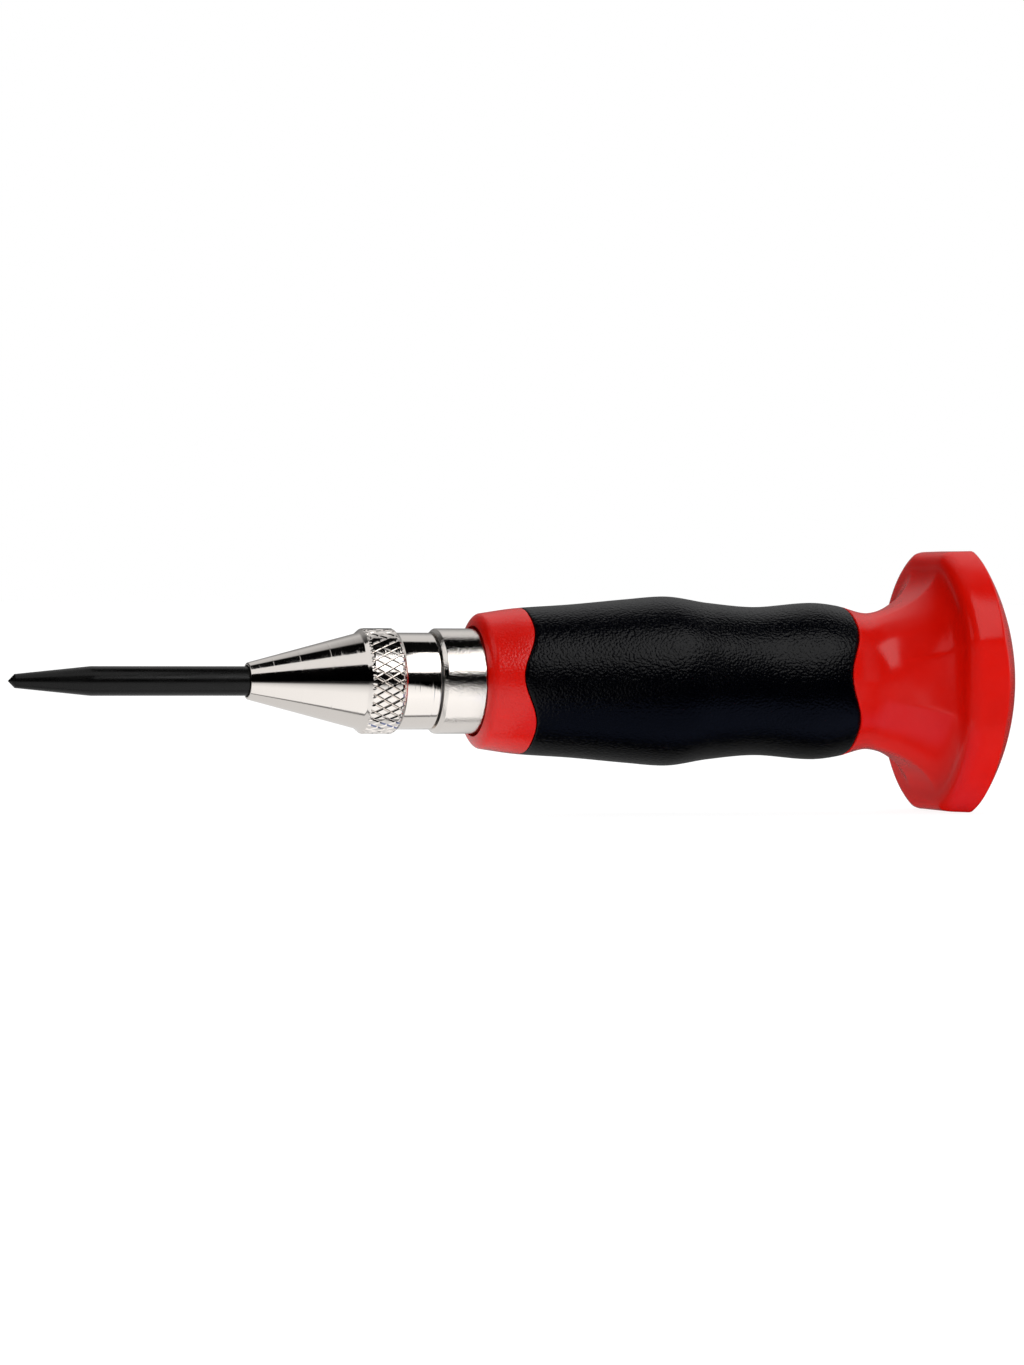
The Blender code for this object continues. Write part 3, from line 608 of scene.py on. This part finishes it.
knurl_finish = add_node(knurl_tree, "GeometryNodeSetMaterial")
knurl_tree.links.new(knurl_wrap.outputs["Geometry"], knurl_close.inputs["Geometry"])
knurl_tree.links.new(knurl_close.outputs["Geometry"], knurl_real.inputs["Geometry"])
knurl_tree.links.new(knurl_real.outputs["Geometry"], knurl_finish.inputs["Geometry"])
knurl_tree.links.new(knurl_in.outputs["Finish"], knurl_finish.inputs["Material"])
knurl_tree.links.new(knurl_finish.outputs["Geometry"], knurl_out.inputs["Geometry"])

bright_nickel, tree, shader, place = new_material(
    "bright_nickel", nickel_colour, roughness=0.07, metallic=1.0
)
fine_rings = place_group(tree, turning, place, Pitch=0.00016)
fine_bump = add_bump(tree, shader, fine_rings.outputs["Height"], distance=0.0000025)
tool_marks = place_group(tree, turning, place, Pitch=0.0011)
mark_lines = add_node(tree, "ShaderNodeMapRange", {"From Min": 0.60, "From Max": 0.66})
tree.links.new(tool_marks.outputs["Height"], mark_lines.inputs["Value"])
add_bump(tree, shader, mark_lines.outputs["Result"], distance=0.000006, below=fine_bump)
add_gloss(tree, shader, place, scale=320.0, least=0.05, most=0.11)

knurl_mesh = grown_mesh(
    "knurl_band",
    knurl_tree,
    {
        "Length": knurl_length,
        "Radius": knurl_radius,
        "Depth": knurl_depth,
        "Flank": knurl_flank,
        "Diamonds": float(diamonds_round),
        "Diamond Length": diamond_length,
        "Front Radius": cone_radius,
        "Rear Radius": collar_radius,
        "Bevel Slope": (knurl_radius - cone_radius) / knurl_bevel,
        "Sides": nose_sides + 1,
        "Steps": steps_along + 1,
        "Finish": bright_nickel,
    },
)
nose_corners = [
    (knurl_rear, collar_radius, 0.0),
    (nose_rear, collar_radius, nose_edge_round),
    (nose_rear, thread_bore, 0.0),
    (knurl_front + knurl_bevel, thread_bore, 0.0),
    (knurl_front + knurl_bevel, chamber_bore, 0.0),
    (nose_front + chamber_depth, chamber_bore, 0.0),
    (nose_front + chamber_depth, guide_bore, 0.0),
    (nose_front, guide_bore, 0.0),
    (nose_front, tip_radius, nose_edge_round),
    (knurl_front, cone_radius, 0.0),
]


def split_along_grooves(shell):
    """Splits each quad between the two corners that lie most nearly at one height."""
    for face in list(shell.faces):
        a, b, c, d = face.verts
        heights = [math.hypot(vert.co.y, vert.co.z) for vert in (a, b, c, d)]
        one_way = (round(abs(heights[0] - heights[2]), 7), heights[0] + heights[2])
        other_way = (round(abs(heights[1] - heights[3]), 7), heights[1] + heights[3])
        if one_way <= other_way:
            bmesh.utils.face_split(face, a, c)
        else:
            bmesh.utils.face_split(face, b, d)


nose_shell = bmesh.new()
knurl_mesh.transform(Matrix.Translation((knurl_front, 0.0, 0.0)))
nose_shell.from_mesh(knurl_mesh)
split_along_grooves(nose_shell)
skin_rings(nose_shell, [round_ring(x, r, nose_sides) for x, r in rounded_outline(nose_corners)])
bmesh.ops.remove_doubles(nose_shell, verts=nose_shell.verts, dist=nose_weld)
nose_mesh = finished_mesh("knurled_nose", nose_shell)
add_piece("knurled_nose", nose_mesh, bright_nickel, "nose", "nose_cone")


# Handle core: hard red plastic moulded in one shot, with a rounded collar, a recess for the grip, a
# slim neck and a flared knob with four flats that stop it rolling. The barrel is pressed into its bore.
core_low, core_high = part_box("handle_core")
collar_front = core_low.x
knob_flats = core_high.z - core_low.z
handle_sides = 192
bore_radius = 0.0073
core_radius = 0.0085
mouth_depth = 0.0014
mouth_radius = 0.0076
lip_length = 0.0010
lip_start = 0.3
lip_rise = 0.85
outline_stations = (0.0010, 0.0060, 0.0140, 0.0221, 0.0275, 0.0338, 0.0407, 0.0492, 0.0526, 0.0573)
outline_diameters = (0.0186, 0.0200, 0.0211, 0.0226, 0.0234, 0.0217, 0.0206, 0.0218, 0.0211, 0.0190)
handle_outline = [(x, d / 2) for x, d in zip(outline_stations, outline_diameters)]
neck_station = outline_stations[-1]
neck_radius = handle_outline[-1][1]
flare_length = 0.00875
flare_start = 0.0024
flare_end = 0.0040
rim_radius = 0.0190
rim_round = 0.0022
rim_flat = 0.0001
rim_reach = 2.1 * rim_round
rim_steps = 8
flare_steps = 28
dome_steps = 30
knob_radius = 0.0192
knob_band = 0.00495
dome_radius = 0.0324
dome_edge_round = 0.0012
grip_front_station = 0.0060
grip_rear_from_neck = 0.0044
wave_lobes = 3
front_wave = 0.0011
rear_wave = 0.0010
wave_crest = 0.29
wave_turn = math.radians(4.5)
seam_round = 0.00022
seam_depth = 0.0009
bore_clearance = 0.0003
edge_steps = 14


def outline_slope(k):
    """Slope of the handle's outline at a station: level at a swell, a waist and the neck."""
    if k == len(handle_outline) - 1:
        return 0.0
    before = handle_outline[max(k - 1, 0)]
    here = handle_outline[k]
    after = handle_outline[k + 1]
    if (here[1] - before[1]) * (after[1] - here[1]) < 0:
        return 0.0
    return (after[1] - before[1]) / (after[0] - before[0])


def handle_radius(x):
    """Handle radius at a distance from the collar's front edge."""
    k = 0
    while k < len(handle_outline) - 2 and x > handle_outline[k + 1][0]:
        k += 1
    (x0, r0), (x1, r1) = handle_outline[k], handle_outline[k + 1]
    span = x1 - x0
    u = (x - x0) / span
    value = r0 * (2 * u**3 - 3 * u**2 + 1) + r1 * (3 * u**2 - 2 * u**3)
    leave = outline_slope(k) * (u**3 - 2 * u**2 + u)
    arrive = outline_slope(k + 1) * (u**3 - u**2)
    return value + span * (leave + arrive)


def wave(angle):
    """The grip's wavy end: round lobes with tighter crests, from about -1.3 to 0.7."""
    turn = wave_lobes * (angle - wave_turn)
    return -math.cos(turn) - wave_crest * math.cos(2 * turn)


def front_seam(angle):
    return grip_front_station + front_wave * wave(angle)


def rear_seam(angle):
    return neck_station - grip_rear_from_neck + rear_wave * wave(angle)


def wavy_ring(station, radius):
    """A ring whose station and radius are functions of the angle above the handle's side."""
    points = []
    for step in range(handle_sides):
        angle = 2 * math.pi * step / handle_sides
        x = station(angle)
        r = radius(angle, x)
        points.append((collar_front + x, -r * math.cos(angle), r * math.sin(angle)))
    return points


def even_ring(x, r):
    return round_ring(collar_front + x, r, handle_sides)


def stretch_rings(start, end, steps):
    """Rings on the handle's outline between two edges that may be wavy."""
    rings = []
    for step in range(steps + 1):
        share = step / steps
        rings.append(
            wavy_ring(
                lambda angle: start(angle) + (end(angle) - start(angle)) * share,
                lambda angle, x: handle_radius(x),
            )
        )
    return rings


def seam_rings(edge, side, steps=4):
    """Rings that roll a skin's edge down into the seam; side is +1 where the skin ends there."""
    rings = []
    for step in range(1, steps + 1):
        u = math.pi / 2 * step / steps
        back = seam_round * (1 - math.sin(u)) * side
        drop = seam_round * (1 - math.cos(u))
        rings.append(
            wavy_ring(
                lambda angle: edge(angle) - back,
                lambda angle, x: handle_radius(edge(angle)) - drop,
            )
        )
    rings.append(wavy_ring(edge, lambda angle, x: handle_radius(edge(angle)) - seam_depth))
    return rings


def knob_outline(angle):
    """Concave flare, rounded rim, drafted band and dome at an angle, lower at the knob's flats."""
    turn = (angle + math.pi / 4) % (math.pi / 2) - math.pi / 4
    share = min(1.0, knob_flats / 2 / knob_radius / math.cos(turn))
    rim = rim_radius * share
    crown = knob_radius * share
    underside = neck_station + flare_length
    dome_centre = underside + knob_band - math.sqrt(dome_radius**2 - knob_radius**2)
    points = []
    flare_rise = rim - rim_round - rim_flat - neck_radius
    for step in range(1, flare_steps + 1):
        u = step / flare_steps
        x = 3 * flare_start * u * (1 - u) ** 2 + flare_length * (3 * u**2 * (1 - u) + u**3)
        r = neck_radius + 3 * (flare_rise - flare_end) * u**2 * (1 - u) + flare_rise * u**3
        points.append((neck_station + x, r))
    corners = [
        (underside, rim - rim_reach, 0.0),
        (underside, rim, rim_round),
        (dome_centre + math.sqrt(dome_radius**2 - crown**2), crown, dome_edge_round),
    ]
    for step in range(1, dome_steps + 1):
        u = math.asin(crown / dome_radius) * (1 - step / dome_steps)
        corners.append((dome_centre + dome_radius * math.cos(u), dome_radius * math.sin(u), 0.0))
    return points + rounded_outline(corners, steps=rim_steps)[1:]


def knob_rings():
    """Rings through the same point of every angle's outline."""
    angles = [2 * math.pi * step / handle_sides for step in range(handle_sides)]
    rings = []
    for spots in zip(*(knob_outline(angle) for angle in angles)):
        ring = []
        for angle, (x, r) in zip(angles, spots):
            ring.append((collar_front + x, -r * math.cos(angle), r * math.sin(angle)))
        rings.append(ring)
    return rings[:-1] + [rings[-1][:1]]


def lip_points(steps=10):
    """Rounded lip of the collar, from the mouth's edge outwards."""
    collar = handle_outline[0][1]
    pull = Vector((lip_length * lip_start, mouth_radius + (collar - mouth_radius) * lip_rise))
    first = Vector((0.0, mouth_radius))
    last = Vector((lip_length, collar))
    spots = []
    for step in range(steps):
        u = step / steps
        spots.append(first * (1 - u) ** 2 + pull * 2 * u * (1 - u) + last * u**2)
    return spots


bore_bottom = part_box("end_plug")[1].x + bore_clearance - collar_front
core_rings = [
    even_ring(bore_bottom, 0.0),
    even_ring(bore_bottom, bore_radius),
    even_ring(mouth_depth, bore_radius),
]
core_rings += [even_ring(spot.x, spot.y) for spot in lip_points()]
core_rings += stretch_rings(
    lambda angle: lip_length, lambda angle: front_seam(angle) - seam_round, edge_steps
)
core_rings += seam_rings(front_seam, 1)
core_rings.append(wavy_ring(front_seam, lambda angle, x: core_radius))
core_rings.append(wavy_ring(rear_seam, lambda angle, x: core_radius))
core_rings += seam_rings(rear_seam, -1)[::-1]
core_rings += stretch_rings(
    lambda angle: rear_seam(angle) + seam_round, lambda angle: neck_station, edge_steps
)
core_rings += knob_rings()
core_shell = bmesh.new()
skin_rings(core_shell, core_rings)
core_mesh = finished_mesh("red_core", core_shell)

# The mould is etched at the collar and, more lightly, on the knob; the neck between is polished.
red_colour = (0.47, 0.0030, 0.0006, 1.0)
red_specular = 0.32
knob_specular = 0.20
collar_etched = {"From Min": collar_front + 0.012, "From Max": collar_front + 0.008}
knob_etched = {"From Min": collar_front + 0.0635, "From Max": collar_front + 0.0665}
knob_etching = 0.4
etched_roughness = 0.02
polished_grain = 0.09
red_plastic, tree, shader, place = new_material(
    "red_plastic", red_colour, roughness=0.3, metallic=0.0, specular=red_specular
)
tone = place_group(tree, smudge, place, Scale=90.0, Least=0.94, Most=1.06)
tint = add_node(tree, "ShaderNodeVectorMath", {0: red_colour[:3]}, operation="SCALE")
tree.links.new(tone.outputs["Value"], tint.inputs["Scale"])
tree.links.new(tint.outputs["Vector"], shader.inputs["Base Color"])
split = add_node(tree, "ShaderNodeSeparateXYZ")
tree.links.new(place, split.inputs["Vector"])
collar_share = add_node(tree, "ShaderNodeMapRange", collar_etched)
knob_share = add_node(tree, "ShaderNodeMapRange", knob_etched)
tree.links.new(split.outputs["X"], collar_share.inputs["Value"])
tree.links.new(split.outputs["X"], knob_share.inputs["Value"])
knob_part = add_math(tree, "MULTIPLY", knob_share.outputs["Result"], knob_etching)
etched = add_math(tree, "ADD", knob_part, collar_share.outputs["Result"])
gloss = place_group(tree, smudge, place, Scale=240.0, Least=0.16, Most=0.22)
rougher = add_math(tree, "MULTIPLY", etched, etched_roughness)
tree.links.new(add_math(tree, "ADD", rougher, gloss.outputs["Value"]), shader.inputs["Roughness"])
duller = add_node(tree, "ShaderNodeMapRange", {"To Min": red_specular, "To Max": knob_specular})
tree.links.new(knob_share.outputs["Result"], duller.inputs["Value"])
tree.links.new(duller.outputs["Result"], shader.inputs["Specular IOR Level"])
moulding = place_group(tree, pebble, place, Scale=3000.0, Warp=0.0001)
grain_share = add_node(tree, "ShaderNodeMapRange", {"To Min": polished_grain})
tree.links.new(etched, grain_share.inputs["Value"])
grain = add_math(tree, "MULTIPLY", moulding.outputs["Height"], grain_share.outputs["Result"])
add_bump(tree, shader, grain, distance=0.000028)
add_piece("red_core", core_mesh, red_plastic, "handle", "handle_core")


# Grip: soft black rubber moulded over the core in a second shot, so its wavy ends key into the red
# plastic. The mould is etched, which gives the rubber a fine leather grain.
seam_gap = 0.00008
grip_steps = 150
grip_bore = 0.0086


def grip_front(angle):
    return front_seam(angle) + seam_gap


def grip_rear(angle):
    return rear_seam(angle) - seam_gap


grip_rings = [wavy_ring(grip_front, lambda angle, x: grip_bore)]
grip_rings += seam_rings(grip_front, -1)[::-1]
grip_rings += stretch_rings(
    lambda angle: grip_front(angle) + seam_round,
    lambda angle: grip_rear(angle) - seam_round,
    grip_steps,
)
grip_rings += seam_rings(grip_rear, 1)
grip_rings.append(wavy_ring(grip_rear, lambda angle, x: grip_bore))
grip_shell = bmesh.new()
skin_rings(grip_shell, grip_rings, closed=True)
grip_mesh = finished_mesh("rubber_grip", grip_shell)

rubber_colour = (0.0002, 0.0003, 0.0010, 1.0)
black_rubber, tree, shader, place = new_material(
    "black_rubber", rubber_colour, roughness=0.3, metallic=0.0, specular=0.13
)
leather = place_group(tree, pebble, place, Scale=2900.0, Warp=0.00016)
add_bump(tree, shader, leather.outputs["Height"], distance=0.000055)
add_gloss(tree, shader, place, scale=200.0, least=0.17, most=0.24)
add_piece("rubber_grip", grip_mesh, black_rubber, "handle", "grip_sleeve")


# Studio: a white sheet under the tool, soft panels close above and in front of it, and pale walls
# behind and at the right. The camera's side and the gap over the tool stay dark, so the plated
# metal mirrors bands.
floor_size = 9.0
floor_colour = (0.86, 0.86, 0.86, 1.0)
floor_mesh = bpy.data.meshes.new("studio_floor")
floor_corners = [(-1, -1), (1, -1), (1, 1), (-1, 1)]
floor_mesh.from_pydata(
    [(x * floor_size, y * floor_size, cad_low.z) for x, y in floor_corners], [], [(0, 1, 2, 3)]
)
floor = bpy.data.objects.new("studio_floor", floor_mesh)
bpy.context.scene.collection.objects.link(floor)


def studio_ramp(tree, value, stops):
    """Brightness along a measure, through (place, brightness) stops."""
    low = stops[0][0]
    high = stops[-1][0]
    ranged = add_node(tree, "ShaderNodeMapRange", {"From Min": low, "From Max": high})
    ramp = add_node(tree, "ShaderNodeValToRGB")
    tree.links.new(value, ranged.inputs["Value"])
    tree.links.new(ranged.outputs["Result"], ramp.inputs["Fac"])
    elements = ramp.color_ramp.elements
    while len(elements) < len(stops):
        elements.new(0.5)
    for element, (spot, bright) in zip(elements, stops):
        element.position = (spot - low) / (high - low)
        element.color = (*bright, 1.0) if isinstance(bright, tuple) else (bright, bright, bright, 1.0)
    return ramp.outputs["Color"]


def add_glow(tree, strength, colour=None):
    """An emission of a strength and, where it isn't white, a colour."""
    node = add_node(tree, "ShaderNodeEmission")
    feed(tree, strength, node.inputs["Strength"])
    if colour:
        tree.links.new(colour, node.inputs["Color"])
    return node.outputs["Emission"]


def add_shaders(tree, first, second):
    """The sum of two shaders."""
    node = add_node(tree, "ShaderNodeAddShader")
    tree.links.new(first, node.inputs[0])
    tree.links.new(second, node.inputs[1])
    return node.outputs["Shader"]


def mix_shaders(tree, share, first, second):
    """Two shaders mixed, with the share that the second one has."""
    node = add_node(tree, "ShaderNodeMixShader")
    tree.links.new(share, node.inputs["Fac"])
    tree.links.new(first, node.inputs[1])
    tree.links.new(second, node.inputs[2])
    return node.outputs["Shader"]


# The sheet is white for the camera; the metal mirrors it as lit strips, with a thin dark line under the
# tool that is painted shadow of the tool.
shadow_share = 0.16
floor_glow = 0.92
sheet_front = [
    (-0.20, 0.05),
    (-0.13, 0.35),
    (-0.09, 0.85),
    (-0.05, 1.08),
    (-0.03, 1.18),
    (-0.0052, 1.06),
    # painted shadow of the tool: the thin dark line under it
    (-0.0046, 0.2),
    (-0.0036, 0.2),
    (-0.003, 0.0),
]
front_slant = 0.2
front_side = [(-0.22, 0.3), (-0.06, 0.82), (-0.03, 1.0), (-0.0045, 1.0), (-0.0022, 0.0)]
sheet_back = [(-0.0036, 0.0), (-0.003, 0.74), (0.05, 0.74)]
back_side = [(-0.22, 0.5), (-0.05, 0.95), (-0.004, 1.0), (0.006, 0.32), (0.05, 0.22), (0.10, 0.1)]
# Painted shade: a dim bluish patch of the sheet in front of the grip and neck, which only reflections
# show.
shade_patch_depth = [(-0.037, 0.0), (-0.029, 1.0), (-0.010, 1.0), (-0.006, 0.0)]
painted_shade_tint = (0.22, 0.27, 0.46)
painted_blue_shade = (0.30, 0.36, 0.60)
shade_patch_side = [
    (-0.001, 0.0),
    (0.003, painted_shade_tint),
    (0.036, painted_shade_tint),
    (0.044, painted_blue_shade),
    (0.058, painted_blue_shade),
    (0.068, 0.0),
]
table_light = [(-0.06, 0.42), (0.0, 1.05)]
paper = bpy.data.materials.new("studio_paper")
paper.use_nodes = True
floor_mesh.materials.append(paper)
tree = paper.node_tree
tree.nodes.clear()
sheet_place = add_node(tree, "ShaderNodeTexCoord")
sheet_split = add_node(tree, "ShaderNodeSeparateXYZ")
tree.links.new(sheet_place.outputs["Object"], sheet_split.inputs["Vector"])
sheet_x = sheet_split.outputs["X"]
sheet_y = sheet_split.outputs["Y"]
rays = add_node(tree, "ShaderNodeLightPath").outputs
slanted = add_math(tree, "ADD", add_math(tree, "MULTIPLY", sheet_y, front_slant), sheet_x)


def lit_strip(depth_stops, side, side_stops):
    """A strip of the sheet as the metal mirrors it: its brightness goes by depth, its tint by side."""
    return add_glow(tree, studio_ramp(tree, sheet_y, depth_stops), studio_ramp(tree, side, side_stops))


both_strips = add_shaders(
    tree, lit_strip(sheet_front, slanted, front_side), lit_strip(sheet_back, sheet_x, back_side)
)
mirrored = add_shaders(tree, both_strips, lit_strip(shade_patch_depth, sheet_x, shade_patch_side))
paper_diffuse = add_node(tree, "ShaderNodeBsdfDiffuse", {"Color": floor_colour})
paper_white = add_glow(tree, floor_glow / (1 - shadow_share))
white_part = add_math(tree, "MULTIPLY", rays["Is Camera Ray"], 1 - shadow_share)
paper_seen = mix_shaders(tree, white_part, paper_diffuse.outputs["BSDF"], paper_white)
table_ramp = studio_ramp(tree, sheet_y, table_light)
table_glow = add_glow(tree, add_math(tree, "MULTIPLY", rays["Is Diffuse Ray"], table_ramp))
paper_lit = add_shaders(tree, paper_seen, table_glow)
paper_out = add_node(tree, "ShaderNodeOutputMaterial")
paper_mix = mix_shaders(tree, rays["Is Glossy Ray"], paper_lit, mirrored)
tree.links.new(paper_mix, paper_out.inputs["Surface"])

# The wall's brightness goes by the angle over the camera's side and by the side it lies to.
world = bpy.data.worlds.new("studio")
bpy.context.scene.world = world
world.use_nodes = True
tree = world.node_tree
tree.nodes.clear()
heading = add_node(tree, "ShaderNodeTexCoord")
heading_split = add_node(tree, "ShaderNodeSeparateXYZ")
tree.links.new(heading.outputs["Generated"], heading_split.inputs["Vector"])
towards_camera = add_math(tree, "MULTIPLY", heading_split.outputs["Y"], -1.0)
lift = add_math(tree, "ARCTAN2", heading_split.outputs["Z"], towards_camera)
degree = math.pi / 180
camera_side_dark = 0.003
wall_stops = [
    (-180 * degree, 0.2),
    (-90 * degree, 0.2),
    (0.0, camera_side_dark),
    (108 * degree, camera_side_dark),
    (112 * degree, 0.84),
    (138 * degree, 0.84),
    (152 * degree, 0.46),
    (165 * degree, 0.27),
    (180 * degree, 0.20),
]
side_stops = [
    (-1.0, 0.03),
    (-0.55, 0.03),
    (-0.40, 0.25),
    (-0.1, 0.9),
    (0.1, 1.0),
    (0.6, 1.0),
    (0.75, 0.5),
    (1.0, 0.4),
]
right_stops = [(0.70, 0.0), (0.80, 0.6), (1.0, 0.6)]
wall = studio_ramp(tree, lift, wall_stops)
wall_side = studio_ramp(tree, heading_split.outputs["X"], side_stops)
right_wall = studio_ramp(tree, heading_split.outputs["X"], right_stops)
back_wall = add_math(tree, "MULTIPLY", wall, wall_side)
studio_glow = add_node(tree, "ShaderNodeBackground")
tree.links.new(add_math(tree, "ADD", back_wall, right_wall), studio_glow.inputs["Strength"])
white_glow = add_node(tree, "ShaderNodeBackground", {"Color": (1.0, 1.0, 1.0, 1.0), "Strength": 1.0})
seen = add_node(tree, "ShaderNodeLightPath").outputs["Is Camera Ray"]
sky = mix_shaders(tree, seen, studio_glow.outputs["Background"], white_glow.outputs["Background"])
sky_out = add_node(tree, "ShaderNodeOutputWorld")
tree.links.new(sky, sky_out.inputs["Surface"])


def soft_panel(name, left, right, front, back, height, radiance, turn=0.0):
    """A flat soft light over the tool that shines straight down, turned about its middle."""
    lamp = bpy.data.lights.new(name, "AREA")
    lamp.shape = "RECTANGLE"
    lamp.size = right - left
    lamp.size_y = back - front
    lamp.energy = radiance * math.pi * lamp.size * lamp.size_y
    panel = bpy.data.objects.new(name, lamp)
    panel.location = ((left + right) / 2, (front + back) / 2, height)
    panel.rotation_euler.z = math.radians(turn)
    panel.visible_camera = False
    bpy.context.scene.collection.objects.link(panel)


def soft_sun(name, energy, spread, tilt, turn=0.0):
    """A wide soft light from far away that no mirror shows; its angles are in degrees."""
    lamp = bpy.data.lights.new(name, "SUN")
    lamp.energy = energy
    lamp.angle = math.radians(spread)
    sun = bpy.data.objects.new(name, lamp)
    sun.rotation_euler = (math.radians(tilt), 0.0, math.radians(turn))
    sun.visible_glossy = False
    bpy.context.scene.collection.objects.link(sun)


panel_turn = -8
soft_panel("main_panel", 0.010, 0.160, -0.370, -0.052, height=0.140, radiance=1.45, turn=panel_turn)
soft_panel("inner_panel", 0.012, 0.140, -0.300, -0.054, height=0.139, radiance=1.05, turn=panel_turn)
soft_panel("nose_panel", -0.055, -0.028, -0.062, -0.016, height=0.060, radiance=0.85)
soft_panel("left_panel", -0.150, -0.055, -0.062, 0.020, height=0.060, radiance=0.85)
soft_sun("fill", energy=1.4, spread=160, tilt=50, turn=42)
soft_sun("top_fill", energy=2.8, spread=60, tilt=-30)


# Camera: a long lens about 0.8 m off, almost level with the tool's axis and turned towards the point,
# so that the knob's underside shows.
view_turn = math.radians(17.0)
view_lift = math.radians(1.0)
view_distance = 0.780
view_aim = Vector((-0.0006, 0.0, -0.0002))
lens_length = 150.0
sensor_size = 36.0
near_limit = 0.01
square_on = math.cos(view_turn)
to_camera = Vector(
    (-math.sin(view_turn), -square_on * math.cos(view_lift), square_on * math.sin(view_lift))
)
image_right = (tool_axis - to_camera * tool_axis.dot(to_camera)).normalized()
image_up = to_camera.cross(image_right)
camera_data = bpy.data.cameras.new("camera")
camera_data.lens = lens_length
camera_data.sensor_width = sensor_size
camera_data.clip_start = near_limit
camera = bpy.data.objects.new("camera", camera_data)
bpy.context.scene.collection.objects.link(camera)
turned_view = Matrix((image_right, image_up, to_camera)).transposed().to_4x4()
camera.matrix_world = Matrix.Translation(view_aim + to_camera * view_distance) @ turned_view
bpy.context.scene.camera = camera
bpy.context.scene.view_settings.view_transform = "Standard"
